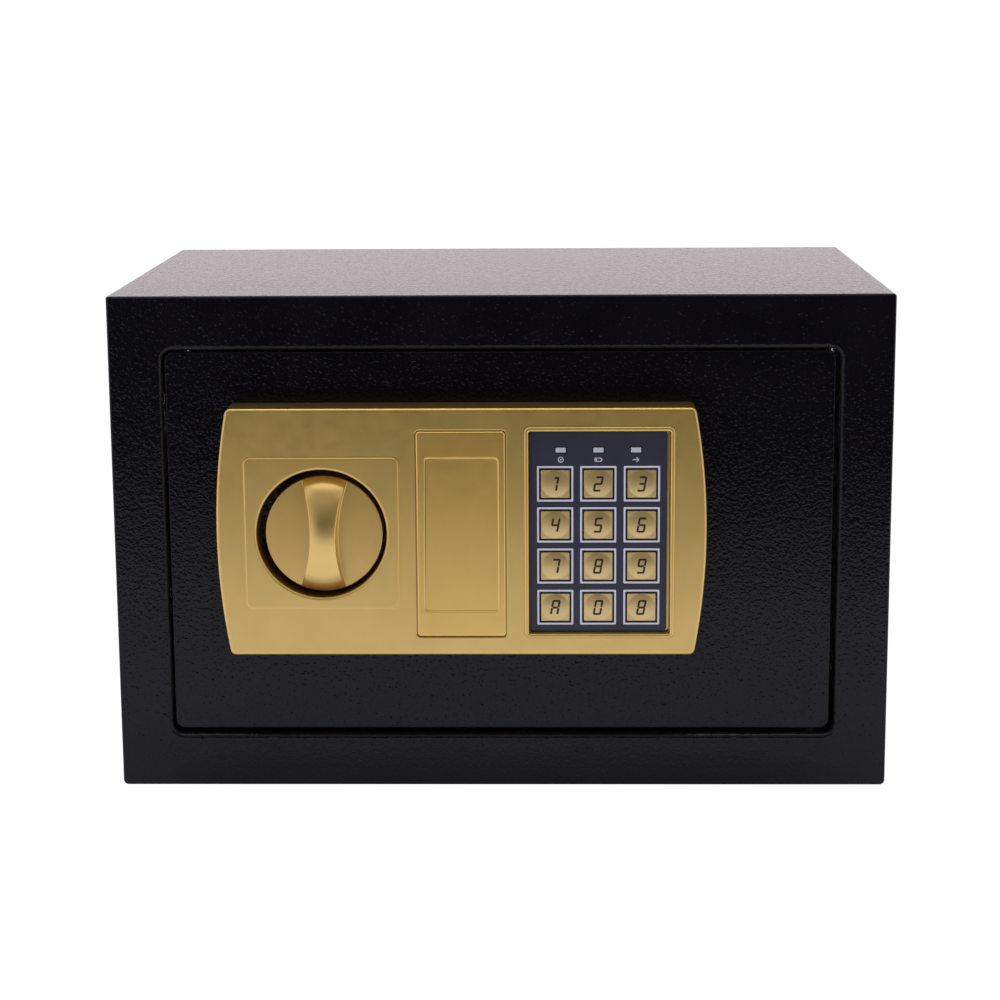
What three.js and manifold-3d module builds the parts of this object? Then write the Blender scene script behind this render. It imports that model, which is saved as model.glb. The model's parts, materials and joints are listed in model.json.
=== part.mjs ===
// Small electronic safe: steel cabinet, swinging door with a turning knob, two sliding
// bolts, twelve-key keypad, override lock, solenoid blocker and battery box.
//
// Units are millimetres, +Z is up, the door faces -Y, the hinges are on the right (+X).
// Dimensions below use a working frame with Y = 0 on the cabinet's front face and Y growing
// into the cabinet. The whole group is then moved along Y, so that the origin is the centre
// of the bottom of the bounding box.
import * as THREE from 'three';
import { mergeVertices } from 'three/addons/utils/BufferGeometryUtils.js';
import Module from 'manifold-3d';

// ---------------------------------------------------------------- driving dimensions
const W = 310;               // cabinet width
const H = 200;               // cabinet height
const D = 200;               // cabinet depth
const SHEET = 1.5;           // wrap and back sheet
const FRAME_T = 2;           // front frame sheet
const GAP = 0.3;             // clearance between pieces that rest on each other

const OPEN_X = 133.7;        // half width of the door opening
const OPEN_Z0 = 21.6;        // bottom of the door opening
const OPEN_Z1 = 178.8;       // top of the door opening
const OPEN_R = 5;            // corner radius of the opening
const LIP_Y = 3;             // how far the rolled lip reaches behind the front face
const LIP_R = 1.5;           // roll radius of the lip

const DOOR_X0 = -132.9, DOOR_X1 = 132.2;
const DOOR_Z0 = 23.4, DOOR_Z1 = 177.6;
const DOOR_Y0 = 2, DOOR_Y1 = 5;
const DOOR_R = 4;

const HINGE_X = 125.5, HINGE_Y = 8;    // vertical hinge axis
const HINGE_PIN_R = 2.5;

const PANEL_CX = -15.74, PANEL_CZ = 107.9;
const PANEL_HALF_W = 96.32, PANEL_H = 99.1, PANEL_R = 265, PANEL_CORNER = 2;
const PANEL_Y0 = -14;        // front face of the control panel
const PANEL_Y1 = DOOR_Y0 - GAP;
const PANEL_WALL = 2.5;

const HOLE_X = -70.5, HOLE_Z = 107.4, HOLE_R = 25.8;   // knob well
const KNOB_X = -69.7, KNOB_Z = 107.05, KNOB_R = 23.2;  // knob axis
const KNOB_RIM_Y = -10.5, KNOB_TOP_Y = -19.5;
const KNOB_TILT = 1.5;       // degrees, clockwise seen from the front

const COVER = { x0: -33.35, x1: 1.6, z0: 66.1, z1: 148.4 };
const LOCK_X = -15.9, LOCK_Z = 107.9;

const BEZEL = { x0: 8.8, x1: 67.9, z0: 65.0, z1: 149.6 };
const RECESS = { x0: 10.6, x1: 66.2, z0: 66.8, z1: 147.65 };
const LABEL = { x0: 10.9, x1: 64.9, z0: 68.0, z1: 147.35 };
const KEY_X = [21.0, 38.05, 55.15];
const KEY_Z = [126.75, 110.17, 93.73, 77.15];
const KEY_NAMES = ['key_1', 'key_2', 'key_3', 'key_4', 'key_5', 'key_6',
  'key_7', 'key_8', 'key_9', 'key_a', 'key_0', 'key_b'];
const KEY_W = 11.3, KEY_H = 11.1;
const LED_X = [23.28, 38.0, 52.77], LED_Z = 140.2;

const BOLT_R = 8, BOLT_Y = 21, BOLT_Z = [72, 130];
const BOLT_TIP = -130.5;     // left end of the bolts, drawn back
const THROW = 18;            // bolt travel
const CRANK_DEG = 75;        // knob travel, half of it each side of the top
const CRANK_R = (THROW / 2) / Math.sin(THREE.MathUtils.degToRad(CRANK_DEG / 2));

const PLUNGER_X = -62, PLUNGER_Y = 14.25;

const FRONT_SHIFT = -(D + KNOB_TOP_Y) / 2;   // knob tip and back plate end up symmetric about Y = 0

// ---------------------------------------------------------------- helpers
const wasm = await Module();
wasm.setup();

// closed BufferGeometry -> manifold solid
function solid(geometry) {
  const g = geometry.clone();
  g.deleteAttribute('normal');
  g.deleteAttribute('uv');
  const m = mergeVertices(g, 1e-4);
  return new wasm.Manifold(new wasm.Mesh({
    numProp: 3,
    vertProperties: new Float32Array(m.attributes.position.array),
    triVerts: new Uint32Array(m.index.array),
  }));
}

// manifold solid -> flat-shaded BufferGeometry
function surface(man) {
  const m = man.getMesh();
  const g = new THREE.BufferGeometry();
  g.setAttribute('position', new THREE.BufferAttribute(new Float32Array(m.vertProperties), 3));
  g.setIndex(new THREE.BufferAttribute(new Uint32Array(m.triVerts), 1));
  const flat = g.toNonIndexed();
  flat.computeVertexNormals();
  return flat;
}

const join = (first, ...rest) => rest.reduce((a, b) => a.add(b), first);
const cut = (first, ...rest) => rest.reduce((a, b) => a.subtract(b), first);

function box(x0, x1, y0, y1, z0, z1) {
  const g = new THREE.BoxGeometry(x1 - x0, y1 - y0, z1 - z0);
  g.translate((x0 + x1) / 2, (y0 + y1) / 2, (z0 + z1) / 2);
  return solid(g);
}

// round bar along Y, X or Z; r1 is the radius at the high end
function barY(x, z, r, y0, y1, n = 32, r1 = r) {
  const g = new THREE.CylinderGeometry(r1, r, y1 - y0, n);
  g.translate(x, (y0 + y1) / 2, z);
  return solid(g);
}
function barX(y, z, r, x0, x1, n = 32, r0 = r) {
  const g = new THREE.CylinderGeometry(r, r0, x1 - x0, n);
  g.rotateZ(-Math.PI / 2);
  g.translate((x0 + x1) / 2, y, z);
  return solid(g);
}
function barZ(x, y, r, z0, z1, n = 32, r1 = r) {
  const g = new THREE.CylinderGeometry(r1, r, z1 - z0, n);
  g.rotateX(Math.PI / 2);
  g.translate(x, y, (z0 + z1) / 2);
  return solid(g);
}

// outline drawn in X and Z, pushed along Y from y0 to y1
function slabY(shape, y0, y1, curveSegments = 6) {
  const g = new THREE.ExtrudeGeometry(shape, { depth: y1 - y0, bevelEnabled: false, curveSegments });
  g.rotateX(Math.PI / 2);
  g.translate(0, y1, 0);
  return solid(g);
}
// outline drawn in Y and Z, pushed along X from x0 to x1
function slabX(shape, x0, x1, curveSegments = 6) {
  const g = new THREE.ExtrudeGeometry(shape, { depth: x1 - x0, bevelEnabled: false, curveSegments });
  g.applyMatrix4(new THREE.Matrix4().makeBasis(
    new THREE.Vector3(0, 1, 0), new THREE.Vector3(0, 0, 1), new THREE.Vector3(1, 0, 0)));
  g.translate(x0, 0, 0);
  return solid(g);
}
// outline drawn in X and Y, pushed along Z from z0 to z1
function slabZ(shape, z0, z1, curveSegments = 6) {
  const g = new THREE.ExtrudeGeometry(shape, { depth: z1 - z0, bevelEnabled: false, curveSegments });
  g.translate(0, 0, z0);
  return solid(g);
}

function roundRect(x0, x1, z0, z1, r) {
  const s = new THREE.Shape();
  s.moveTo(x0 + r, z0);
  s.lineTo(x1 - r, z0);
  s.absarc(x1 - r, z0 + r, r, -Math.PI / 2, 0, false);
  s.lineTo(x1, z1 - r);
  s.absarc(x1 - r, z1 - r, r, 0, Math.PI / 2, false);
  s.lineTo(x0 + r, z1);
  s.absarc(x0 + r, z1 - r, r, Math.PI / 2, Math.PI, false);
  s.lineTo(x0, z0 + r);
  s.absarc(x0 + r, z0 + r, r, Math.PI, 1.5 * Math.PI, false);
  return s;
}
function polygon(points) {
  return new THREE.Shape(points.map(([a, b]) => new THREE.Vector2(a, b)));
}

const paint = (color, roughness, metalness) => new THREE.MeshStandardMaterial({ color, roughness, metalness });
const BLACK_COAT = () => paint(0x16161a, 0.5, 0.0);
const GOLD = () => paint(0xb08f45, 0.38, 0.85);
const STEEL = () => paint(0xa9adb2, 0.35, 1.0);
const ZINC = () => paint(0x9ea3a8, 0.45, 0.9);
const BRASS = () => paint(0xb9974f, 0.35, 1.0);
const BLACK_PLASTIC = () => paint(0x1b1b1d, 0.55, 0.0);

const safe = new THREE.Group();
safe.name = 'electronic_safe';
const cabinet = new THREE.Group();
const door = new THREE.Group();
const lockwork = new THREE.Group();
safe.add(cabinet, door);
door.add(lockwork);

function part(name, man, material, group) {
  const mesh = new THREE.Mesh(surface(man), material);
  mesh.name = name;
  group.add(mesh);
  return mesh;
}

// ---------------------------------------------------------------- cabinet
// four-sided wrap with its long edges rolled to a small radius, two anchor holes in the floor
{
  const outer = slabY(roundRect(-W / 2, W / 2, 0, H, 2), FRAME_T + GAP, D, 3);
  const inner = box(-W / 2 + SHEET, W / 2 - SHEET, -5, D + 5, SHEET, H - SHEET);
  const anchorL = barZ(-75, 130, 5, -5, 10, 20);
  const anchorR = barZ(75, 130, 5, -5, 10, 20);
  part('body_wrap', cut(outer, inner, anchorL, anchorR), BLACK_COAT(), cabinet);
}
// back sheet let into the wrap, two anchor holes
{
  const g = SHEET + GAP;
  const plate = box(-W / 2 + g, W / 2 - g, D - 1.8, D, g, H - g);
  part('back_panel', cut(plate, barY(-75, 120, 5, D - 8, D + 5, 20), barY(75, 120, 5, D - 8, D + 5, 20)),
    BLACK_COAT(), cabinet);
}
// front frame: flat margin all round and a lip rolled inwards round the door opening
{
  const plate = slabY(roundRect(-W / 2, W / 2, 0, H, 2), 0, FRAME_T, 3);
  const lipBlock = slabY(roundRect(-OPEN_X - LIP_R, OPEN_X + LIP_R, OPEN_Z0 - LIP_R, OPEN_Z1 + LIP_R, OPEN_R + LIP_R), 1, LIP_Y, 4);
  let frame = join(plate, lipBlock);
  frame = cut(frame, slabY(roundRect(-OPEN_X, OPEN_X, OPEN_Z0, OPEN_Z1, OPEN_R), -5, 10, 4));
  // the roll: the opening widens in two steps towards the front face
  for (const [y, w] of [[0.9, 0.15], [0.3, 0.7]]) {
    frame = cut(frame, slabY(roundRect(-OPEN_X - w, OPEN_X + w, OPEN_Z0 - w, OPEN_Z1 + w, OPEN_R + w), -5, y, 4));
  }
  part('front_frame', frame, BLACK_COAT(), cabinet);
}
// keeper: angle welded behind the left margin, two holes that take the thrown bolts
{
  const web = box(-140, -137, FRAME_T + GAP, 40, 42, 160);
  const foot = box(-150, -137, FRAME_T + GAP, FRAME_T + GAP + 2.5, 42, 160);
  let keeper = join(web, foot);
  for (const z of BOLT_Z) keeper = cut(keeper, barX(BOLT_Y, z, BOLT_R + 0.8, -145, -130, 28));
  part('bolt_keeper', keeper, STEEL(), cabinet);
}
// hinge brackets behind the top and bottom margins
for (const [name, z0, z1, f0, f1] of [
  ['hinge_bracket_upper', 184, 187, 184, 196],
  ['hinge_bracket_lower', 13, 16, 4, 16]]) {
  const y0 = FRAME_T + GAP;
  const shelf = box(114, 140, y0, 17, z0, z1);
  const flange = box(112, 142, y0, y0 + 2.5, f0, f1);
  // the flange stays clear of the lip, which ends at LIP_R outside the opening
  part(name, cut(join(shelf, flange), barZ(HINGE_X, HINGE_Y, HINGE_PIN_R + 0.35, z0 - 5, z1 + 5, 24)), STEEL(), cabinet);
}
// felt mat lying on the cabinet floor, punched over the two floor anchor holes
part('floor_mat', cut(box(-149, 149, 48, 194, SHEET + GAP, SHEET + GAP + 2),
  barZ(-75, 130, 7, -5, 10, 28), barZ(75, 130, 7, -5, 10, 28)), paint(0x2a2a2e, 0.95, 0.0), cabinet);

// ---------------------------------------------------------------- door
// 3 mm front plate with holes for the knob shaft, override lock, key wiring and guide studs
{
  let plate = slabY(roundRect(DOOR_X0, DOOR_X1, DOOR_Z0, DOOR_Z1, DOOR_R), DOOR_Y0, DOOR_Y1, 5);
  plate = cut(plate,
    barY(KNOB_X, KNOB_Z, 7.3, -5, 10, 28),
    barY(LOCK_X, LOCK_Z, 9.8, -5, 10, 32),
    box(28, 48, -5, 10, 66, 72));
  part('door_plate', plate, BLACK_COAT(), door);
}
// door pan: folded rim behind the plate that carries the bolts and the inner cover
const PAN = { x0: -128, x1: 112, z0: 32, z1: 169, y0: DOOR_Y1 + GAP, y1: 37.7, t: 1.5 };
const SCREWS = [[-120, 40], [104, 40], [-120, 161], [104, 161]];
{
  let pan = cut(box(PAN.x0, PAN.x1, PAN.y0, PAN.y1, PAN.z0, PAN.z1),
    box(PAN.x0 + PAN.t, PAN.x1 - PAN.t, -5, 60, PAN.z0 + PAN.t, PAN.z1 - PAN.t));
  for (const [x, z] of SCREWS) {
    const sx = Math.sign(x + 8), sz = Math.sign(z - 100);
    const tx0 = sx < 0 ? PAN.x0 + 0.5 : x - 6, tx1 = sx < 0 ? x + 6 : PAN.x1 - 0.5;
    const tz0 = sz < 0 ? PAN.z0 + 0.5 : z - 6, tz1 = sz < 0 ? z + 6 : PAN.z1 - 0.5;
    pan = join(pan, box(tx0, tx1, PAN.y1 - 2, PAN.y1, tz0, tz1));
  }
  for (const [x, z] of SCREWS) pan = cut(pan, barY(x, z, 2.1, 30, 45, 16));
  for (const z of BOLT_Z) pan = cut(pan, barX(BOLT_Y, z, BOLT_R + 0.4, -135, -120, 28));
  part('door_pan', pan, BLACK_COAT(), door);
}
// inner cover with the battery window and the reset hole
const BAT = { x0: 18, x1: 80, z0: 86, z1: 152 };
const RESET = { x: 96, z: 138 };
{
  let cover = slabY(roundRect(PAN.x0, PAN.x1, PAN.z0, PAN.z1, 3), 38, 39.2, 3);
  cover = cut(cover, box(BAT.x0 - GAP, BAT.x1 + GAP, 30, 50, BAT.z0 - GAP, BAT.z1 + GAP), barY(RESET.x, RESET.z, 3.4, 30, 50, 24));
  for (const [x, z] of SCREWS) cover = cut(cover, barY(x, z, 2.1, 30, 50, 16));
  part('inner_cover', cover, BLACK_COAT(), door);
}
SCREWS.forEach(([x, z], i) => {
  let screw = join(barY(x, z, 3.5, 39.5, 41.3, 20, 2.8), barY(x, z, 1.7, 31, 39.6, 12));
  screw = cut(screw, box(x - 2.1, x + 2.1, 40.5, 45, z - 0.4, z + 0.4), box(x - 0.4, x + 0.4, 40.5, 45, z - 2.1, z + 2.1));
  part(`cover_screw_${i + 1}`, screw, STEEL(), door);
});
// hinge leaves: a lug on the back of the plate with a pin standing out of it
for (const [name, z0, z1, p0, p1] of [
  ['hinge_leaf_upper', 160, 176.5, 176, 189],
  ['hinge_leaf_lower', 24.5, 41, 11.5, 25]]) {
  const lug = box(114, 130.5, DOOR_Y1 + GAP, 11, z0, z1);
  part(name, join(lug, barZ(HINGE_X, HINGE_Y, HINGE_PIN_R, p0, p1, 24)), STEEL(), door);
}

// ---------------------------------------------------------------- control panel
function panelOutline(inset) {
  const hw = PANEL_HALF_W - inset, hh = PANEL_H / 2 - inset, R = PANEL_R - inset, r = Math.max(PANEL_CORNER - inset, 0.5);
  const bow = (dz) => R - Math.sqrt(R * R - dz * dz);
  const xl = (dz) => PANEL_CX - hw + bow(dz), xr = (dz) => PANEL_CX + hw - bow(dz);
  const s = new THREE.Shape();
  const n = 10;
  s.moveTo(xl(hh) + r, PANEL_CZ - hh);
  s.lineTo(xr(hh) - r, PANEL_CZ - hh);
  s.quadraticCurveTo(xr(hh), PANEL_CZ - hh, xr(hh - r), PANEL_CZ - hh + r);
  for (let i = 1; i <= n; i++) { const dz = -hh + r + (2 * (hh - r) * i) / n; s.lineTo(xr(dz), PANEL_CZ + dz); }
  s.quadraticCurveTo(xr(hh), PANEL_CZ + hh, xr(hh) - r, PANEL_CZ + hh);
  s.lineTo(xl(hh) + r, PANEL_CZ + hh);
  s.quadraticCurveTo(xl(hh), PANEL_CZ + hh, xl(hh - r), PANEL_CZ + hh - r);
  for (let i = 1; i <= n; i++) { const dz = hh - r - (2 * (hh - r) * i) / n; s.lineTo(xl(dz), PANEL_CZ + dz); }
  s.quadraticCurveTo(xl(hh), PANEL_CZ - hh, xl(hh) + r, PANEL_CZ - hh);
  return s;
}
{
  let p = slabY(panelOutline(0), PANEL_Y0 + 0.6, PANEL_Y1, 3);
  p = join(p, slabY(panelOutline(0.5), PANEL_Y0, PANEL_Y0 + 1, 3));
  p = cut(p, slabY(panelOutline(PANEL_WALL), PANEL_Y0 + PANEL_WALL, PANEL_Y1 + 5, 3));
  // raised pad round the knob, well wall, raised bezel, ledge that the label lies on
  p = join(p,
    slabY(roundRect(HOLE_X - 30.2, HOLE_X + 30.2, HOLE_Z - 30.2, HOLE_Z + 30.2, 2), PANEL_Y0 - 0.4, PANEL_Y0 + 1, 3),
    barY(HOLE_X, HOLE_Z, HOLE_R + 2.2, PANEL_Y0 + 1, PANEL_Y1, 56),
    slabY(roundRect(BEZEL.x0, BEZEL.x1, BEZEL.z0, BEZEL.z1, 2.2), PANEL_Y0 - 0.6, PANEL_Y0 + 1, 3),
    box(BEZEL.x0, BEZEL.x1, PANEL_Y0 + PANEL_WALL - 0.5, PANEL_Y0 + 4, BEZEL.z0, BEZEL.z1),
    box(COVER.x0 + 1, COVER.x1 - 1, PANEL_Y0 + PANEL_WALL - 0.5, PANEL_Y0 + 4, COVER.z0 + 1, COVER.z1 - 1));
  p = cut(p,
    barY(HOLE_X, HOLE_Z, HOLE_R, -30, 10, 56),
    slabY(roundRect(RECESS.x0, RECESS.x1, RECESS.z0, RECESS.z1, 1.6), -30, PANEL_Y0 + PANEL_WALL, 3),
    box(13, 63.2, -30, 10, 69.9, 145.5),
    slabY(roundRect(COVER.x0 - GAP, COVER.x1 + GAP, COVER.z0 - GAP, COVER.z1 + GAP, 1.2), -30, PANEL_Y0 + 1.3, 3),
    box(LOCK_X - 12.9, LOCK_X + 12.9, -30, 10, 79, 137));
  part('control_panel', p, GOLD(), door);
}
// cover over the override lock: raised plate with a shallow panel and two spring legs
{
  let c = slabY(roundRect(COVER.x0, COVER.x1, COVER.z0, COVER.z1, 1), PANEL_Y0 - 0.6, PANEL_Y0 + 1, 3);
  c = cut(c, slabY(roundRect(-30.8, -1.05, 76.1, 138.1, 1), -30, PANEL_Y0 - 0.3, 3));
  c = join(c,
    box(LOCK_X - 12.4, LOCK_X - 10.6, PANEL_Y0 + 0.5, PANEL_Y0 + 8, 102, 114),
    box(LOCK_X + 10.6, LOCK_X + 12.4, PANEL_Y0 + 0.5, PANEL_Y0 + 8, 102, 114));
  part('keyhole_cover', c, GOLD(), door);
}

// ---------------------------------------------------------------- keypad
{
  const y0 = PANEL_Y0 + 1.4, y1 = PANEL_Y0 + 2.2;
  let label = slabY(roundRect(LABEL.x0, LABEL.x1, LABEL.z0, LABEL.z1, 1.2), y0, y1, 3);
  for (const x of KEY_X) for (const z of KEY_Z) {
    label = cut(label, box(x - KEY_W / 2 - 0.4, x + KEY_W / 2 + 0.4, -30, 0, z - KEY_H / 2 - 0.4, z + KEY_H / 2 + 0.4));
  }
  for (const x of LED_X) label = cut(label, box(x - 2.33, x + 2.33, -30, 0, LED_Z - 1.32, LED_Z + 1.32));
  part('keypad_label', label, paint(0x2c2d3a, 0.45, 0.0), door);
}
KEY_Z.forEach((z, r) => KEY_X.forEach((x, c) => {
  const cap = box(x - KEY_W / 2, x + KEY_W / 2, PANEL_Y0 + 1.0, PANEL_Y0 + 3, z - KEY_H / 2, z + KEY_H / 2);
  const flange = box(x - 6.5, x + 6.5, PANEL_Y0 + 2.6, PANEL_Y0 + 3.6, z - 6.4, z + 6.4);
  part(KEY_NAMES[r * 3 + c], join(cap, flange), GOLD(), door);
}));
{
  part('keypad_mat', box(12, 64.2, -9.1, -8.1, 68.9, 134.5), paint(0xb9bcc0, 0.8, 0.0), door);
}
part('keypad_board', box(12, 64.2, -7.4, -5.8, 68.9, 146.5), paint(0x1f5a35, 0.5, 0.0), door);
LED_X.forEach((x, i) => {
  const pipe = box(x - 2.03, x + 2.03, PANEL_Y0 + 1.35, -7.7, LED_Z - 1.02, LED_Z + 1.02);
  part(['led_left', 'led_middle', 'led_right'][i], pipe, paint(0xb4b4bc, 0.3, 0.0), door);
});
// ribbon from the keypad board through the door plate to the main board
{
  const path = new THREE.CatmullRomCurve3([
    new THREE.Vector3(38, -5.4, 70.2), new THREE.Vector3(38, -3, 69.4), new THREE.Vector3(38, 1, 69.0),
    new THREE.Vector3(38, 5, 69.0), new THREE.Vector3(38, 7.4, 68.6), new THREE.Vector3(38, 9.7, 67)]);
  const pts = path.getPoints(14);
  // strip of constant thickness built as an outline in Y and Z
  const left = [], right = [];
  pts.forEach((p, i) => {
    const a = pts[Math.max(i - 1, 0)], b = pts[Math.min(i + 1, pts.length - 1)];
    const ty = b.y - a.y, tz = b.z - a.z, l = Math.hypot(ty, tz);
    left.push([p.y - (tz / l) * 0.35, p.z + (ty / l) * 0.35]);
    right.push([p.y + (tz / l) * 0.35, p.z - (ty / l) * 0.35]);
  });
  part('keypad_cable', slabX(polygon(right.concat(left.reverse())), 31, 45), paint(0x77797d, 0.6, 0.0), door);
}

// ---------------------------------------------------------------- override lock
{
  let h = join(barY(LOCK_X, LOCK_Z, 9.4, -7, 20, 32), barY(LOCK_X, LOCK_Z, 11.8, 0, 1.7, 32));
  h = cut(h, barY(LOCK_X, LOCK_Z, 6.3, -30, 40, 28));
  part('lock_housing', h, ZINC(), door);
  let nut = slabY(hexagon(LOCK_X, LOCK_Z, 12.6), 5.3, 9.3);
  nut = cut(nut, barY(LOCK_X, LOCK_Z, 9.7, 0, 20, 32));
  part('lock_nut', nut, ZINC(), door);
  let plug = join(barY(LOCK_X, LOCK_Z, 6.0, -7.2, 20.6, 32), box(LOCK_X - 2.4, LOCK_X + 2.4, 20.5, 24.5, LOCK_Z - 2.4, LOCK_Z + 2.4));
  plug = cut(plug, box(LOCK_X - 1.1, LOCK_X + 1.1, -30, 8, LOCK_Z - 4.2, LOCK_Z + 4.2));
  part('lock_plug', plug, BRASS(), lockwork);
  let cam = join(barY(LOCK_X, LOCK_Z, 7, 21, 23, 28), box(LOCK_X - 5, LOCK_X + 5, 21, 23, LOCK_Z - 26, LOCK_Z));
  cam = cut(cam, box(LOCK_X - 2.7, LOCK_X + 2.7, 10, 30, LOCK_Z - 2.7, LOCK_Z + 2.7));
  part('lock_cam', cam, STEEL(), lockwork);
}
function hexagon(x, z, r) {
  return polygon([0, 1, 2, 3, 4, 5].map((i) => [x + r * Math.cos((i * Math.PI) / 3), z + r * Math.sin((i * Math.PI) / 3)]));
}

// ---------------------------------------------------------------- knob and crank
{
  // hourglass grip in plan, arched in side view, on a round drum
  const half = [[0, 5.3], [5, 5.5], [10, 6.1], [15, 7.1], [20, 8.5], [23.6, 9.7]];
  const pts = [];
  for (const [z, x] of half) pts.push([x, z]);
  for (const [z, x] of half.slice().reverse()) pts.push([-x, z]);
  for (const [z, x] of half.slice(1)) pts.push([-x, -z]);
  for (const [z, x] of half.slice(1).reverse()) pts.push([x, -z]);
  const plan = slabY(polygon(pts), KNOB_TOP_Y - 1, KNOB_RIM_Y + 1);
  const side = [];
  const ARCH = 43.6;
  for (let i = 0; i <= 16; i++) { const z = -19.3 + (38.6 * i) / 16; side.push([KNOB_TOP_Y + ARCH - Math.sqrt(ARCH * ARCH - z * z), z]); }
  side.push([KNOB_TOP_Y + 5.6, 21.2], [KNOB_TOP_Y + 7.2, 22.4], [KNOB_RIM_Y + 0.6, 23.1], [KNOB_RIM_Y + 2, 23.1]);
  side.push([KNOB_RIM_Y + 2, -23.1], [KNOB_RIM_Y + 0.6, -23.1], [KNOB_TOP_Y + 7.2, -22.4], [KNOB_TOP_Y + 5.6, -21.2]);
  const arch = slabX(polygon(side), -12, 12);
  const drum = barY(0, 0, KNOB_R, KNOB_RIM_Y, 0.9, 64);
  const grip = plan.intersect(arch).intersect(barY(0, 0, KNOB_R, -30, 10, 64));
  let knob = join(drum, grip);
  // hollow underside with a hub that takes the shaft
  knob = cut(knob, cut(barY(0, 0, KNOB_R - 2.5, KNOB_RIM_Y + 3, 10, 40), barY(0, 0, 7, -30, 20, 32)), barY(0, 0, 4.4, -6.3, 10, 28));
  const mesh = part('knob', knob, GOLD(), lockwork);
  mesh.position.set(KNOB_X, 0, KNOB_Z);
  mesh.rotation.set(0, THREE.MathUtils.degToRad(KNOB_TILT), 0);
}
{
  // shaft with the crank disc on its inner end; the pin starts half the travel right of top
  const a = THREE.MathUtils.degToRad(CRANK_DEG / 2);
  const px = KNOB_X + CRANK_R * Math.sin(a), pz = KNOB_Z + CRANK_R * Math.cos(a);
  const shaft = join(barY(KNOB_X, KNOB_Z, 4, -6, 11, 24), barY(KNOB_X, KNOB_Z, 19, 8, 12, 32), barY(px, pz, 2.5, 11.5, 18, 16));
  part('knob_shaft', shaft, ZINC(), lockwork);
  const bush = cut(join(barY(KNOB_X, KNOB_Z, 7, 1.6, 7, 24), barY(KNOB_X, KNOB_Z, 9.5, 5.3, 7.4, 24)), barY(KNOB_X, KNOB_Z, 4.3, -10, 20, 24));
  part('shaft_bush', bush, paint(0xd9d6cc, 0.5, 0.0), door);
}

// ---------------------------------------------------------------- bolts
const GUIDE = [[-70, 80], [-70, 134]];
{
  const px = KNOB_X + THROW / 2;
  const z0 = KNOB_Z + CRANK_R * Math.cos(THREE.MathUtils.degToRad(CRANK_DEG / 2)), z1 = KNOB_Z + CRANK_R;
  let plate = join(box(-102.5, -36, 13, 15.5, 66, 142), box(-102.5, -100, 13, 31, 60, 142));
  plate = cut(plate, box(px - 3, px + 3, 0, 20, z0 - 3, z1 + 3));
  for (const [x, z] of GUIDE) plate = cut(plate, box(x, x + THROW, 0, 20, z - 3.4, z + 3.4), barY(x, z, 3.4, 0, 20, 20), barY(x + THROW, z, 3.4, 0, 20, 20));
  // notches that the solenoid plunger enters, one at each end of the travel
  for (const x of [PLUNGER_X, PLUNGER_X + THROW]) plate = cut(plate, box(x - 4.1, x + 4.1, 0, 20, 60, 74));
  part('bolt_carrier', plate, STEEL(), lockwork);
  ['bolt_lower', 'bolt_upper'].forEach((name, i) => {
    const z = BOLT_Z[i];
    part(name, join(barX(BOLT_Y, z, BOLT_R, BOLT_TIP + 1.2, -102.8, 32), barX(BOLT_Y, z, BOLT_R, BOLT_TIP, BOLT_TIP + 1.3, 32, BOLT_R - 1.2)), STEEL(), lockwork);
  });
  // shouldered guide studs
  ['guide_post_lower', 'guide_post_upper'].forEach((name, i) => {
    const [x, z] = GUIDE[i];
    part(name, join(barY(x, z, 4.6, 5.3, 12.6, 24), barY(x, z, 2.9, 12.5, 15.9, 20), barY(x, z, 4.9, 15.85, 17.6, 24)), ZINC(), door);
  });
}

// ---------------------------------------------------------------- solenoid blocker
{
  const frame = cut(box(PLUNGER_X - 11, PLUNGER_X + 11, 5.5, 23.5, 34, 50), barZ(PLUNGER_X, PLUNGER_Y, 3.4, 36.4, 60, 24));
  part('solenoid_body', frame, ZINC(), door);
  const plunger = join(barZ(PLUNGER_X, PLUNGER_Y, 3.0, 37, 65.4, 24), barZ(PLUNGER_X, PLUNGER_Y, 5.2, 56, 57.6, 24));
  part('solenoid_plunger', plunger, STEEL(), lockwork);
  // return spring between frame and collar, drawn together
  const turns = 3.2, steps = 38, r = 4.15, h0 = 50.75, h1 = 55.3;
  const points = [];
  for (let i = 0; i <= steps; i++) {
    const t = i / steps, a = t * turns * 2 * Math.PI;
    points.push(new THREE.Vector3(PLUNGER_X + r * Math.cos(a), PLUNGER_Y + r * Math.sin(a), h0 + (h1 - h0) * t));
  }
  const section = polygon([0, 1, 2, 3, 4, 5].map((i) => [0.35 * Math.cos((i * Math.PI) / 3), 0.35 * Math.sin((i * Math.PI) / 3)]));
  const spring = new THREE.ExtrudeGeometry(section, { steps, bevelEnabled: false, curveSegments: 1, extrudePath: new THREE.CatmullRomCurve3(points) });
  part('solenoid_spring', solid(spring), STEEL(), lockwork);
}

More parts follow.
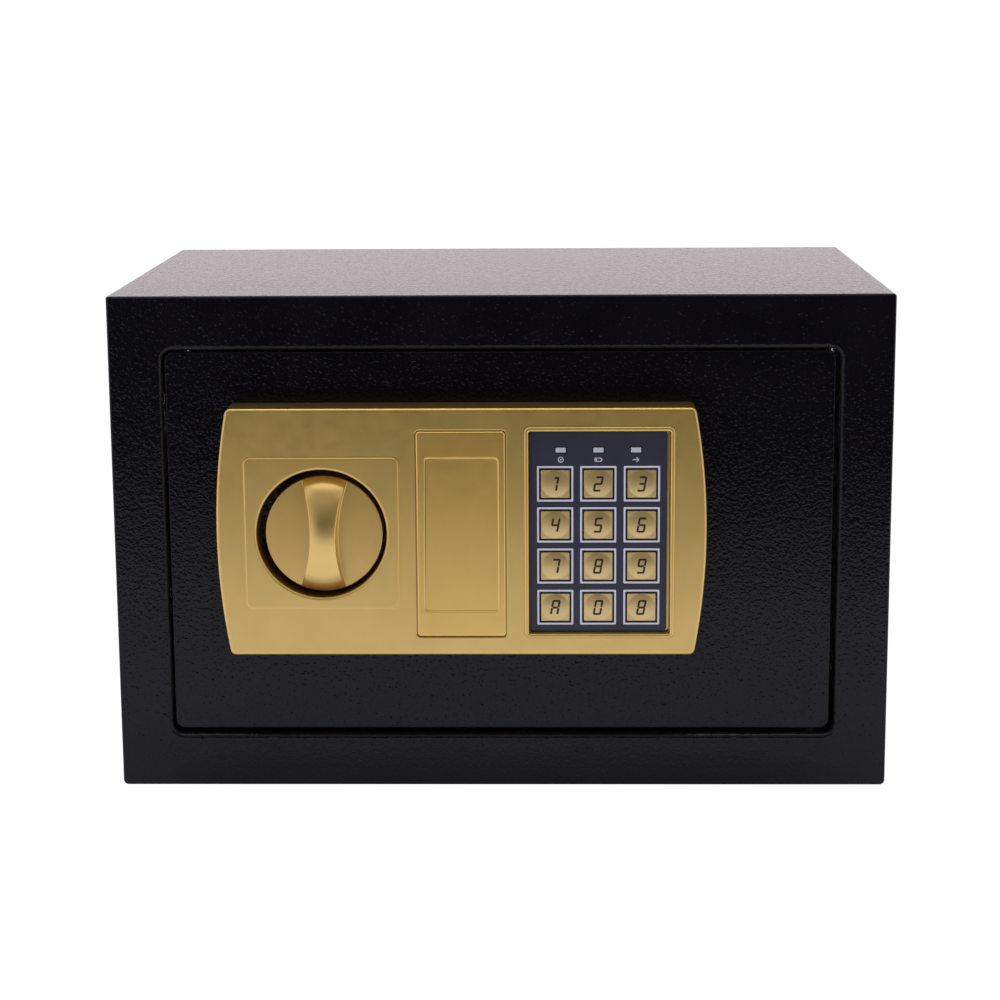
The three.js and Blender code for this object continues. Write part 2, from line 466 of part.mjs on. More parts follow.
// ---------------------------------------------------------------- electronics and battery box
{
  let board = box(-5, 98, 10, 11.6, 38, 78);
  board = join(board, box(6, 22, 11.5, 17, 46, 60), box(34, 46, 11.5, 14, 60, 72), box(60, 74, 11.5, 20, 44, 58),
    barY(86, 66, 4.5, 11.5, 19, 20), box(-1, 7, 11.5, 19, 66, 74), box(2, 6, 5.4, 10.5, 40, 44), box(88, 92, 5.4, 10.5, 40, 44));
  board = cut(board, box(30, 46.5, 0, 30, 64, 80));
  part('main_board', board, paint(0x1f5a35, 0.5, 0.0), door);
}
{
  let tray = cut(box(BAT.x0, BAT.x1, 19, 40.5, BAT.z0, BAT.z1), box(BAT.x0 + 1.6, BAT.x1 - 1.6, 20.7, 60, BAT.z0 + 1.6, BAT.z1 - 1.6));
  let flange = cut(box(BAT.x0 - 5, BAT.x1 + 5, 39.5, 41, BAT.z0 - 5, BAT.z1 + 5), box(BAT.x0 + 1.6, BAT.x1 - 1.6, 30, 60, BAT.z0 + 1.6, BAT.z1 - 1.6));
  const low = join(box(BAT.x0 - 5, BAT.x1 + 5, 40.5, 44.2, BAT.z0 - 5, BAT.z0 - 3), box(BAT.x0 - 5, BAT.x1 + 5, 43, 44.2, BAT.z0 - 5, BAT.z0 - 1));
  const high = join(box(BAT.x0 - 5, BAT.x1 + 5, 40.5, 44.2, BAT.z1 + 3, BAT.z1 + 5), box(BAT.x0 - 5, BAT.x1 + 5, 43, 44.2, BAT.z1 + 1, BAT.z1 + 5));
  const stop = box(BAT.x1 + 3, BAT.x1 + 5, 40.5, 44.2, BAT.z0 - 5, BAT.z1 + 5);
  part('battery_box', join(tray, flange, low, high, stop), BLACK_PLASTIC(), door);
  for (let i = 0; i < 4; i++) {
    const z = 119 - 23.1 + 15.4 * i;
    const flip = i % 2 === 0;
    const cell = join(barX(28.4, z, 7.1, flip ? 24 : 25.2, flip ? 72.8 : 74, 28), barX(28.4, z, 2.7, flip ? 72.7 : 24, flip ? 74 : 25.3, 16));
    part(`battery_cell_${i + 1}`, cell, paint(0x3d4a5a, 0.35, 0.4), door);
  }
  let lid = box(BAT.x0 - 4.6, BAT.x1 + 2.6, 41.3, 42.7, BAT.z0 - 2.6, BAT.z1 + 2.6);
  lid = join(lid, box(BAT.x0 - 1, BAT.x0 + 1, 42.6, 43.8, 105, 133), box(BAT.x0 + 3, BAT.x0 + 5, 42.6, 43.8, 105, 133), box(BAT.x0 + 7, BAT.x0 + 9, 42.6, 43.8, 105, 133));
  part('battery_cover', lid, BLACK_PLASTIC(), door);
}
part('reset_button', join(barY(RESET.x, RESET.z, 3.0, 33, 42, 24), barY(RESET.x, RESET.z, 4.6, 34.5, 37.6, 24)), paint(0xa01818, 0.4, 0.0), door);

safe.position.y = FRONT_SHIFT;
safe.updateMatrixWorld(true);

export default safe;
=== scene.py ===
import json
import math

import bpy
import bmesh
from mathutils import Matrix, Vector
from mathutils.geometry import tessellate_polygon

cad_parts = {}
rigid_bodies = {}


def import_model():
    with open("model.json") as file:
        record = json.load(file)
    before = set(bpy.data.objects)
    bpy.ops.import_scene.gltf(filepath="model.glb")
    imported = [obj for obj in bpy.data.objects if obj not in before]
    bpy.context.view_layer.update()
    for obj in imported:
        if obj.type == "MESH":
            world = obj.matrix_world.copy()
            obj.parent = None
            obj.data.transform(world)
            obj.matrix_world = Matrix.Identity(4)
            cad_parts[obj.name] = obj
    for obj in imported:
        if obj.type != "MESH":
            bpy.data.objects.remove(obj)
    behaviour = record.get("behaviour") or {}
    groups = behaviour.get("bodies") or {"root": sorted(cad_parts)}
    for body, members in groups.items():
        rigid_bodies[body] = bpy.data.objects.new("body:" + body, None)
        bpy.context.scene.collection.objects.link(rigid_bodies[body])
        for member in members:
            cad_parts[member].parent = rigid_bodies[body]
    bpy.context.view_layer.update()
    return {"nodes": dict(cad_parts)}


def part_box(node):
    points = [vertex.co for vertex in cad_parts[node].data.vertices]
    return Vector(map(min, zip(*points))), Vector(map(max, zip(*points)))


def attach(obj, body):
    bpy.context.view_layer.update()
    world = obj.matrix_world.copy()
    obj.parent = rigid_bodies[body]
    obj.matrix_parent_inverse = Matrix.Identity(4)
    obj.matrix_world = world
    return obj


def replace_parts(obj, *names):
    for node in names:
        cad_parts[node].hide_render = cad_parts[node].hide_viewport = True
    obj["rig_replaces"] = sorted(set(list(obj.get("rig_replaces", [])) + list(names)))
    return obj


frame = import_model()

# ---------------------------------------------------------------- working frame
# millimetres, Y = 0 on the cabinet's front face, Y grows into the cabinet, as in the CAD source
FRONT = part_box("front_frame")[0].y * 1000.0


def P(x, y, z):
    return Vector((x / 1000.0, (y + FRONT) / 1000.0, z / 1000.0))


def mm(node):
    lo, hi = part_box(node)
    return (lo.x * 1000, hi.x * 1000, lo.y * 1000 - FRONT, hi.y * 1000 - FRONT, lo.z * 1000, hi.z * 1000)


W2, H, D = 155.0, 200.0, 200.0
OPEN_X, OPEN_Z0, OPEN_Z1, OPEN_R, LIP_Y, LIP_R = 133.7, 21.6, 178.6, 4.4, 3.0, 1.9
DX0, DX1, DY0, DY1, DZ0, DZ1 = mm("door_plate")
PCX, PCZ, PHW, PH, PR = -15.5, 107.9, 96.55, 99.1, 265.0
PY0, PY1 = -14.0, 1.7
HOLE_X, HOLE_Z, HOLE_R = -70.4, 107.6, 25.65
KNOB_X, KNOB_Z, KNOB_R = -69.7, 107.05, 23.2
RIM_Y, TOP_Y = -10.5, mm("knob")[2]
COVER = (-33.0, 2.0, 66.1, 148.4)
LOCK_X, LOCK_Z = -15.9, 107.9
BEZEL = (9.35, 68.35, 65.3, 150.0)
RECESS = (11.15, 66.65, 67.05, 148.2)
LABEL = (11.45, 65.4, 67.95, 147.95)
KEY_X = (21.5, 38.4, 55.45)
KEY_Z = (127.23, 110.8, 94.25, 77.55)
KEY_NAMES = ("key_1", "key_2", "key_3", "key_4", "key_5", "key_6", "key_7", "key_8", "key_9", "key_a", "key_0", "key_b")
LED_X, LED_Z = (23.7, 38.45, 53.1), 140.65

# ---------------------------------------------------------------- outlines, all in X and Z


def rr(x0, x1, z0, z1, r, n=6, grow=0.0):
    """Rounded rectangle, 4 * (n + 1) points; r is one radius or (bottom left, bottom right, top right, top left)."""
    rs = list(r) if isinstance(r, (tuple, list)) else [r] * 4
    rs = [max(q + grow, 0.12) for q in rs]
    x0, x1, z0, z1 = x0 - grow, x1 + grow, z0 - grow, z1 + grow
    corners = ((x0 + rs[0], z0 + rs[0], rs[0], 180), (x1 - rs[1], z0 + rs[1], rs[1], 270),
               (x1 - rs[2], z1 - rs[2], rs[2], 0), (x0 + rs[3], z1 - rs[3], rs[3], 90))
    out = []
    for cx, cz, q, a0 in corners:
        for i in range(n + 1):
            a = math.radians(a0 + 90.0 * i / n)
            out.append((cx + q * math.cos(a), cz + q * math.sin(a)))
    return out


def circ(cx, cz, r, n=72, a0=0.0):
    return [(cx + r * math.cos(a0 + 2 * math.pi * i / n), cz + r * math.sin(a0 + 2 * math.pi * i / n)) for i in range(n)]


def panel_ring(inset, n=28, nc=6):
    """Outline of the control panel: straight top and bottom, bowed sides."""
    hw, hh, R, r = PHW - inset, PH / 2 - inset, PR - inset, max(2.2 - inset, 0.5)
    bow = lambda dz: R - math.sqrt(R * R - dz * dz)
    xr = lambda dz: PCX + hw - bow(dz)
    xl = lambda dz: PCX - hw + bow(dz)

    def corner(a, b, c):
        return [((1 - t) ** 2 * a[0] + 2 * t * (1 - t) * b[0] + t * t * c[0],
                 (1 - t) ** 2 * a[1] + 2 * t * (1 - t) * b[1] + t * t * c[1]) for t in [i / nc for i in range(nc + 1)]]
    lo, hi = PCZ - hh, PCZ + hh
    out = []
    out += corner((xr(hh) - r, lo), (xr(hh), lo), (xr(hh - r), lo + r))
    out += [(xr(-hh + r + 2 * (hh - r) * i / n), PCZ - hh + r + 2 * (hh - r) * i / n) for i in range(1, n)]
    out += corner((xr(hh - r), hi - r), (xr(hh), hi), (xr(hh) - r, hi))
    out += corner((xl(hh) + r, hi), (xl(hh), hi), (xl(hh - r), hi - r))
    out += [(xl(hh - r - 2 * (hh - r) * i / n), PCZ + hh - r - 2 * (hh - r) * i / n) for i in range(1, n)]
    out += corner((xl(hh - r), lo + r), (xl(hh), lo), (xl(hh) + r, lo))
    return out


def at(ring, y):
    return [(x, y, z) for x, z in ring]


def fillet(fn, y0, sy, r, g0, sg, n=5):
    """Quarter-round from a wall to a face. fn(grow) gives the outline; the wall is at grow g0 and the face is r * sy
    further along Y than y0; the outline changes by r * sg on the way."""
    out = []
    for i in range(n + 1):
        a = math.pi / 2 * i / n
        out.append(at(fn(g0 + sg * r * (1 - math.cos(a))), y0 + sy * r * math.sin(a)))
    return out


# ---------------------------------------------------------------- mesh building
class Build:
    """Collects points in the working frame and faces, then becomes one mesh object."""

    def __init__(self):
        self.v, self.f, self.mat = [], [], []

    def points(self, pts):
        i = len(self.v)
        self.v.extend(pts)
        return list(range(i, i + len(pts)))

    def face(self, idx, mat=0):
        self.f.append(tuple(idx))
        self.mat.append(mat)

    def loft(self, rings, mat=0, closed=True, wrap=False, cap0=False, cap1=False):
        """Skins through rings of equal length; returns their index lists."""
        ids = [self.points(r) for r in rings]
        n = len(rings[0])
        pairs = list(zip(ids[:-1], ids[1:]))
        if wrap:
            pairs.append((ids[-1], ids[0]))
        for a, b in pairs:
            for i in range(n if closed else n - 1):
                j = (i + 1) % n
                self.face((a[i], a[j], b[j], b[i]), mat)
        if cap0:
            self.fill([rings[0]], mat)
        if cap1:
            self.fill([rings[-1]], mat)
        return ids

    def fill(self, loops, mat=0):
        """Flat face across the first loop, with the other loops as holes."""
        axis = min(range(3), key=lambda k: max(p[k] for p in loops[0]) - min(p[k] for p in loops[0]))
        keep = [k for k in range(3) if k != axis]
        flat = [[Vector((p[keep[0]], p[keep[1]], 0)) for p in loop] for loop in loops]
        idx = []
        for loop in loops:
            idx += self.points(loop)
        for t in tessellate_polygon(flat):
            self.face([idx[k] for k in t], mat)

    def lathe_y(self, cx, cz, profile, n=64, mat=0, wrap=False):
        """Turns (radius, y) points about a line along Y."""
        self.loft([at(circ(cx, cz, max(r, 0.001), n), y) for r, y in profile], mat, wrap=wrap)

    def lathe_x(self, cy, cz, profile, n=48, mat=0):
        rings = []
        for r, x in profile:
            rings.append([(x, cy + max(r, 0.001) * math.cos(2 * math.pi * i / n), cz + max(r, 0.001) * math.sin(2 * math.pi * i / n)) for i in range(n)])
        self.loft(rings, mat)

    def lathe_z(self, cx, cy, profile, n=40, mat=0):
        rings = []
        for r, z in profile:
            rings.append([(cx + max(r, 0.001) * math.cos(2 * math.pi * i / n), cy + max(r, 0.001) * math.sin(2 * math.pi * i / n), z) for i in range(n)])
        self.loft(rings, mat)

    def block(self, x0, x1, y0, y1, z0, z1, r=0.3, mat=0, n=2):
        """Box with its edges rounded by r."""
        r = min(r, (x1 - x0) / 2.2, (y1 - y0) / 2.2, (z1 - z0) / 2.2)
        fn = lambda g: rr(x0, x1, z0, z1, r, n, g)
        rings = list(reversed(fillet(fn, y0 + r, -1, r, 0, -1, n))) + fillet(fn, y1 - r, 1, r, 0, -1, n)
        self.loft(rings, mat, cap0=True, cap1=True)


def obj_from(name, build, mats, sharp=38.0, weld=0.004, weighted=True, transform=None):
    me = bpy.data.meshes.new(name)
    me.from_pydata([P(*p) for p in build.v], [], build.f)
    for m in mats:
        me.materials.append(m)
    for p, k in zip(me.polygons, build.mat):
        p.material_index = k
    o = bpy.data.objects.new(name, me)
    bpy.context.scene.collection.objects.link(o)
    finish_shape(o, sharp, weld, weighted)
    return o


def finish_shape(o, sharp=38.0, weld=0.004, weighted=True):
    me = o.data
    bm = bmesh.new()
    bm.from_mesh(me)
    bmesh.ops.remove_doubles(bm, verts=bm.verts, dist=weld / 1000.0)
    bmesh.ops.dissolve_degenerate(bm, edges=bm.edges, dist=weld / 2000.0)
    loose = [v for v in bm.verts if not v.link_faces]
    bmesh.ops.delete(bm, geom=loose, context="VERTS")
    bmesh.ops.recalc_face_normals(bm, faces=bm.faces)
    lim = math.radians(sharp)
    for f in bm.faces:
        f.smooth = True
    for e in bm.edges:
        e.smooth = len(e.link_faces) == 2 and e.calc_face_angle(0.0) < lim
    bm.to_mesh(me)
    bm.free()
    if weighted:
        m = o.modifiers.new("weighted", "WEIGHTED_NORMAL")
        m.mode = "FACE_AREA"
        m.weight = 90
        m.keep_sharp = True
        apply_all(o)


def apply_all(o):
    bpy.ops.object.select_all(action="DESELECT")
    bpy.context.view_layer.objects.active = o
    o.select_set(True)
    for m in list(o.modifiers):
        bpy.ops.object.modifier_apply(modifier=m.name)
    o.select_set(False)


def boolean(o, cutter, op="DIFFERENCE"):
    m = o.modifiers.new("bool", "BOOLEAN")
    m.operation, m.solver, m.object = op, "EXACT", cutter
    apply_all(o)
    bpy.data.objects.remove(cutter)


def place(o, body, slot, *nodes):
    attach(o, body)
    if nodes:
        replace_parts(o, *nodes)
    return o


# ---------------------------------------------------------------- materials
def lin(r, g, b):
    f = lambda c: ((c / 255 + 0.055) / 1.055) ** 2.4 if c > 10.3 else c / 255 / 12.92
    return (f(r), f(g), f(b), 1.0)


class Mat:
    """Small helper around one node material with a Principled shader."""

    def __init__(self, name, **values):
        self.m = bpy.data.materials.new(name)
        self.m.use_nodes = True
        self.nt = self.m.node_tree
        self.p = next(n for n in self.nt.nodes if n.type == "BSDF_PRINCIPLED")
        self.co = self.nt.nodes.new("ShaderNodeTexCoord")
        self.height = None
        for k, v in values.items():
            self.p.inputs[k.replace("_", " ")].default_value = v

    def link(self, a, b):
        self.nt.links.new(a, b)

    def noise(self, scale, detail=2.0, rough=0.5, stretch=None, distortion=0.0):
        n = self.nt.nodes.new("ShaderNodeTexNoise")
        n.inputs["Scale"].default_value = scale
        n.inputs["Detail"].default_value = detail
        n.inputs["Roughness"].default_value = rough
        n.inputs["Distortion"].default_value = distortion
        src = self.co.outputs["Object"]
        if stretch:
            mp = self.nt.nodes.new("ShaderNodeMapping")
            mp.inputs["Scale"].default_value = stretch
            self.link(src, mp.inputs["Vector"])
            src = mp.outputs["Vector"]
        self.link(src, n.inputs["Vector"])
        return n.outputs["Fac"]

    def voronoi(self, scale, feature="F1", stretch=None):
        n = self.nt.nodes.new("ShaderNodeTexVoronoi")
        n.feature = feature
        n.inputs["Scale"].default_value = scale
        src = self.co.outputs["Object"]
        if stretch:
            mp = self.nt.nodes.new("ShaderNodeMapping")
            mp.inputs["Scale"].default_value = stretch
            self.link(src, mp.inputs["Vector"])
            src = mp.outputs["Vector"]
        self.link(src, n.inputs["Vector"])
        return n.outputs["Distance"]

    def ramp(self, fac, stops):
        n = self.nt.nodes.new("ShaderNodeValToRGB")
        while len(n.color_ramp.elements) < len(stops):
            n.color_ramp.elements.new(0.5)
        for e, (pos, col) in zip(n.color_ramp.elements, stops):
            e.position = pos
            e.color = col if isinstance(col, tuple) else (col, col, col, 1)
        self.link(fac, n.inputs["Fac"])
        return n.outputs["Color"]

    def span(self, fac, a, b, lo=0.0, hi=1.0):
        n = self.nt.nodes.new("ShaderNodeMapRange")
        for k, v in (("From Min", lo), ("From Max", hi), ("To Min", a), ("To Max", b)):
            n.inputs[k].default_value = v
        self.link(fac, n.inputs["Value"])
        return n.outputs["Result"]

    def mix(self, fac, a, b):
        n = self.nt.nodes.new("ShaderNodeMix")
        n.data_type = "RGBA"
        for sock, v in ((n.inputs["Factor"], fac), (n.inputs["A"] if False else n.inputs[6], a), (n.inputs[7], b)):
            if isinstance(v, (tuple, float, int)):
                sock.default_value = v
            else:
                self.link(v, sock)
        return n.outputs[2]

    def math(self, op, a, b=0.0):
        n = self.nt.nodes.new("ShaderNodeMath")
        n.operation = op
        for sock, v in zip(n.inputs, (a, b)):
            if isinstance(v, (float, int)):
                sock.default_value = v
            else:
                self.link(v, sock)
        return n.outputs[0]

    def bump(self, height, distance, strength=1.0):
        n = self.nt.nodes.new("ShaderNodeBump")
        n.inputs["Strength"].default_value = strength
        n.inputs["Distance"].default_value = distance
        self.link(height, n.inputs["Height"])
        if self.height is not None:
            self.link(self.height, n.inputs["Normal"])
        self.height = n.outputs["Normal"]
        self.link(self.height, self.p.inputs["Normal"])

    def colour(self, c):
        self.link(c, self.p.inputs["Base Color"])

    def rough(self, r):
        self.link(r, self.p.inputs["Roughness"])


def coat_material(name, base, tone, ior=1.275, gloss=(0.03, 0.10), peel=0.00019):
    m = Mat(name, IOR=ior)
    m.colour(m.mix(m.span(m.noise(35, 3), 0, 1, 0.35, 0.65), base, tone))
    grain = m.noise(600, 1.8, 0.55)
    m.rough(m.span(grain, gloss[0], gloss[1], 0.38, 0.62))
    m.bump(m.noise(150, 2.0, 0.5), peel * 0.45)
    m.bump(grain, peel * 0.9)
    pits = m.span(m.voronoi(620), 0, 1, 0.0, 0.4)
    m.bump(pits, peel * 0.36)
    m.bump(m.noise(1250, 1.0, 0.5), peel * 0.42)
    return m.m


def gold_material(name, base, rough=(0.30, 0.36), grain=0.000012, metallic=0.9, lacquer=0.24):
    """Metallic paint under a clear lacquer."""
    m = Mat(name, Metallic=metallic, Coat_Weight=1.0, Coat_Roughness=lacquer, Coat_IOR=1.5)
    base, tone = tuple(c * 0.965 for c in base) + (1,), tuple(c * 1.035 for c in base) + (1,)
    m.colour(m.mix(m.span(m.noise(60, 3), 0, 1, 0.35, 0.65), base, tone))
    r = m.span(m.noise(220, 3), rough[0], rough[1], 0.3, 0.7)
    m.rough(r)
    m.bump(m.noise(2600, 2, 0.6), grain)
    m.bump(m.noise(420, 1, 0.5), grain * 0.8)
    return m.m


COAT = coat_material("black_powder_coat", (0.0048, 0.0041, 0.0057, 1), (0.0060, 0.0052, 0.0070, 1))
COAT_IN = coat_material("black_coat_inside", (0.0085, 0.0085, 0.0092, 1), (0.0115, 0.0115, 0.0122, 1), 1.42, (0.28, 0.38), 0.00009)
PANEL_GOLD = gold_material("panel_gold", (0.65, 0.425, 0.108), (0.32, 0.37))
COVER_GOLD = gold_material("cover_gold", (0.695, 0.438, 0.094), (0.31, 0.36))
KNOB_GOLD = gold_material("knob_gold", (0.70, 0.455, 0.126), (0.30, 0.34), 0.000006, 0.86)
DRUM_GOLD = gold_material("drum_gold", (0.65, 0.408, 0.098), (0.31, 0.36))
KEY_GOLD = gold_material("key_gold", (0.62, 0.435, 0.16), (0.36, 0.41), 0.000008, 0.86)


def plain_material(name, base, tone, rough=(0.35, 0.45), grain=0.00002, scale=900, metallic=0.0, ior=1.45, big=60, **extra):
    m = Mat(name, Metallic=metallic, IOR=ior, **extra)
    m.colour(m.mix(m.span(m.noise(big, 3), 0, 1, 0.35, 0.65), base, tone))
    m.rough(m.span(m.noise(big * 3, 3), rough[0], rough[1], 0.3, 0.7))
    m.bump(m.noise(scale, 2, 0.55), grain)
    return m.m


LABEL_MAT = plain_material("label_slate", lin(41, 42, 56), lin(45, 46, 60), (0.38, 0.44), 0.000006, 1800, ior=1.4)
PRINT_LIGHT = plain_material("label_print", lin(205, 203, 216), lin(212, 210, 222), (0.42, 0.5), 0.000004, 2400)
INK = plain_material("key_ink", lin(26, 19, 28), lin(32, 24, 33), (0.45, 0.55), 0.000004, 2400)
LENS = plain_material("led_lens", lin(188, 188, 197), lin(198, 198, 206), (0.32, 0.4), 0.000005, 2600)


def sheet_steel():
    """Zinc-plated sheet: cool grey with a faint warm bloom and fine rolling lines."""
    m = Mat("zinc_plated_steel", Metallic=1.0)
    bloom = m.ramp(m.noise(55, 4, 0.6), [(0.3, (0.50, 0.52, 0.55, 1)), (0.55, (0.60, 0.60, 0.58, 1)), (0.72, (0.62, 0.57, 0.50, 1))])
    m.colour(bloom)
    lines = m.noise(900, 2, 0.5, (1, 1, 0.06))
    m.rough(m.span(lines, 0.24, 0.42, 0.3, 0.7))
    m.bump(lines, 0.000006)
    m.bump(m.noise(70, 2), 0.00003)
    return m.m


def turned_steel(name="turned_steel", colour=((0.60, 0.60, 0.61, 1), (0.68, 0.68, 0.68, 1)), axis=(1, 0.04, 0.04), rough=(0.16, 0.30)):
    """Turned metal: rings left by the tool across the axis of the piece."""
    m = Mat(name, Metallic=1.0)
    rings = m.noise(2200, 2, 0.6, axis)
    m.colour(m.mix(m.span(m.noise(80, 3), 0, 1, 0.35, 0.65), *colour))
    m.rough(m.span(rings, rough[0], rough[1], 0.3, 0.7))
    m.bump(rings, 0.000008)
    return m.m


def board_green():
    """Solder mask over a pattern of traces, with a fine gloss."""
    m = Mat("circuit_board_green", IOR=1.5, Coat_Weight=0.6, Coat_Roughness=0.12)
    cells = m.voronoi(260, "DISTANCE_TO_EDGE", (1, 0.01, 1))
    traces = m.ramp(cells, [(0.0, (0.030, 0.20, 0.075, 1)), (0.09, (0.030, 0.20, 0.075, 1)), (0.12, (0.010, 0.085, 0.035, 1)), (1.0, (0.012, 0.10, 0.04, 1))])
    m.colour(traces)
    m.rough(m.span(m.noise(400, 2), 0.28, 0.4, 0.3, 0.7))
    m.bump(m.span(cells, 1, 0, 0.0, 0.15), 0.00003)
    return m.m


def ribbon_grey():
    """Flat ribbon: parallel conductors under grey insulation."""
    m = Mat("ribbon_cable", IOR=1.46)
    wave = m.nt.nodes.new("ShaderNodeTexWave")
    wave.wave_type, wave.bands_direction = "BANDS", "X"
    wave.inputs["Scale"].default_value = 250
    m.link(m.co.outputs["Object"], wave.inputs["Vector"])
    # grey bands from the same wave as the bump: darker in the grooves, lighter on the ridges, a painted shade
    m.colour(m.mix(wave.outputs["Fac"], (0.17, 0.175, 0.19, 1), (0.34, 0.345, 0.36, 1)))
    m.rough(m.span(m.noise(500, 2), 0.4, 0.55, 0.3, 0.7))
    m.bump(wave.outputs["Fac"], 0.00022)
    return m.m


def felt_grey():
    """Needled felt: tangled fibres, light and dark, lying every way."""
    m = Mat("needled_felt", IOR=1.3, Sheen_Weight=0.35, Sheen_Roughness=0.5)
    a = m.noise(1500, 5, 0.7, (1, 0.25, 1), 1.6)
    c = m.noise(1500, 5, 0.7, (0.25, 1, 1), 1.6)
    fibres = m.math("ADD", a, c)
    m.colour(m.ramp(m.span(fibres, 0, 1, 0.75, 1.25), [(0.0, lin(27, 27, 31)), (0.5, lin(46, 46, 52)), (1.0, lin(84, 84, 92))]))
    m.rough(m.span(a, 0.85, 1.0, 0.3, 0.7))
    m.bump(m.noise(90, 3, 0.6), 0.0005)
    m.bump(fibres, 0.0004)
    return m.m


def cell_sleeve():
    """Printed sleeve of a cell: blue-grey with a fine print screen."""
    m = Mat("cell_sleeve", Metallic=0.35, Coat_Weight=0.8, Coat_Roughness=0.1)
    m.colour(m.mix(m.span(m.noise(120, 3), 0, 1, 0.4, 0.6), lin(38, 58, 92), lin(46, 66, 102)))
    m.rough(m.span(m.noise(600, 2), 0.28, 0.38, 0.3, 0.7))
    m.bump(m.noise(1600, 1), 0.000006)
    return m.m


STEEL = sheet_steel()
TURNED_X = turned_steel("turned_steel_x")
TURNED_Y = turned_steel("turned_steel_y", axis=(0.04, 1, 0.04))
TURNED_Z = turned_steel("turned_steel_z", axis=(0.04, 0.04, 1))
CAST = plain_material("zinc_casting", (0.44, 0.45, 0.47, 1), (0.53, 0.535, 0.54, 1), (0.36, 0.5), 0.00003, 1100, 1.0)
BRASS = turned_steel("machined_brass", ((0.62, 0.45, 0.17, 1), (0.70, 0.52, 0.22, 1)), (0.05, 1, 0.05), (0.2, 0.34))
NYLON = plain_material("natural_nylon", lin(222, 217, 200), lin(230, 226, 212), (0.38, 0.5), 0.00002, 900, ior=1.53)
BOARD = board_green()
CHIP = plain_material("component_black", lin(24, 24, 26), lin(34, 34, 36), (0.42, 0.58), 0.00002, 1500)
TERMINAL = plain_material("component_white", lin(210, 208, 198), lin(222, 220, 212), (0.4, 0.5), 0.00001, 1200)
SILICONE = plain_material("grey_silicone", lin(150, 152, 156), lin(162, 164, 168), (0.55, 0.7), 0.00003, 700, ior=1.41)
RIBBON = ribbon_grey()
BLACK_PLASTIC = plain_material("black_plastic", lin(20, 20, 21), lin(27, 27, 28), (0.42, 0.55), 0.00005, 1600, ior=1.5)
SLEEVE = cell_sleeve()
RED_PLASTIC = plain_material("red_plastic", lin(168, 20, 18), lin(184, 26, 22), (0.2, 0.3), 0.00001, 1200, ior=1.5)
FELT = felt_grey()
OXIDE = plain_material("black_oxide_pin", (0.012, 0.012, 0.013, 1), (0.018, 0.018, 0.019, 1), (0.4, 0.52), 0.00002, 1200)

# ---------------------------------------------------------------- cabinet: wrap and front frame as one welded, coated shell
CORNERS = (2.0, 2.0, 1.3, 0.8)     # bottom left, bottom right, top right, top left, seen from the front
EDGE_R = 1.0                       # front edge fillet
body = lambda g: rr(-W2, W2, 0, H, CORNERS, 6, g)
opening = lambda g: rr(-OPEN_X, OPEN_X, OPEN_Z0, OPEN_Z1, OPEN_R, 6, g)
b = Build()
rings = [at(body(-0.35), D), at(body(-0.1), D - 0.1), at(body(0), D - 0.35)]
rings += fillet(body, EDGE_R, -1, EDGE_R, 0, -1, 6)
rings += list(reversed(fillet(opening, LIP_R, -1, LIP_R, 0, 1, 7)))
rings += [at(opening(0), LIP_Y - 0.3), at(opening(0.3), LIP_Y), at(opening(LIP_R - 0.2), LIP_Y), at(opening(LIP_R), LIP_Y - 0.3), at(opening(LIP_R), 2.0)]
inner = lambda g: rr(-W2 + 1.5, W2 - 1.5, 1.5, H - 1.5, 0.6, 6, g)
rings += [at(inner(0), 2.0), at(inner(0), D)]
b.loft(rings, wrap=True)
shell = obj_from("cabinet_shell", b, [COAT, COAT_IN], weighted=False)
for sx in (-75, 75):
    c = Build()
    c.lathe_z(sx, 130, [(0, -5), (5, -5), (5, 10), (0, 10)], 40)
    boolean(shell, obj_from("cutter", c, [], weighted=False))
for p in shell.data.polygons:
    c = p.center
    if abs(c.x) < 0.1540 and 0.0012 < c.z < 0.1988 and c.y > P(0, 1.9, 0).y:
        p.material_index = 1
finish_shape(shell, 38, 0.002)
place(shell, "cabinet", "black_coat", "body_wrap", "front_frame")

b = Build()
bx0, bx1, by0, by1, bz0, bz1 = mm("back_panel")
back = lambda g: rr(bx0, bx1, bz0, bz1, 0.6, 3, g)
holes = [circ(s * 75, 120, 5, 40) for s in (-1, 1)]
hole_rims = [circ(s * 75, 120, 5.3, 40) for s in (-1, 1)]
b.loft([at(back(0), by0), at(back(0), by1 - 0.3)] + [at(back(-0.12), by1 - 0.12), at(back(-0.3), by1)])
b.fill([at(back(0), by0)] + [at(h, by0) for h in holes])
b.fill([at(back(-0.3), by1)] + [at(h, by1) for h in hole_rims])
for h, hr in zip(holes, hole_rims):
    b.loft([at(h, by0), at(h, by1 - 0.3), at(hr, by1)])
place(obj_from("back_sheet", b, [COAT]), "cabinet", "black_coat", "back_panel")

# ---------------------------------------------------------------- door plate
b = Build()
plate = lambda g: rr(-OPEN_X + 0.5, DX1, DZ0, OPEN_Z1 - 0.75, 4.0, 8, g)
plate_holes = [circ(KNOB_X, KNOB_Z, 7.3, 48), circ(LOCK_X, LOCK_Z, 9.8, 48), rr(28, 48, 66, 72, 1.0, 4)]
b.loft([at(plate(-0.3), DY1), at(plate(0), DY1 - 0.3)] + fillet(plate, DY0 + 0.8, -1, 0.8, 0, -1, 5))
b.loft([at(plate(-0.8), DY0), at(plate(-1.1), DY0)])
b.fill([at(plate(-1.1), DY0)] + [at(h, DY0) for h in plate_holes])
b.fill([at(plate(-0.3), DY1)] + [at(h, DY1) for h in plate_holes])
for h in plate_holes:
    b.loft([at(h, DY0), at(h, DY1)])
place(obj_from("door_front_plate", b, [COAT]), "door", "black_coat", "door_plate")

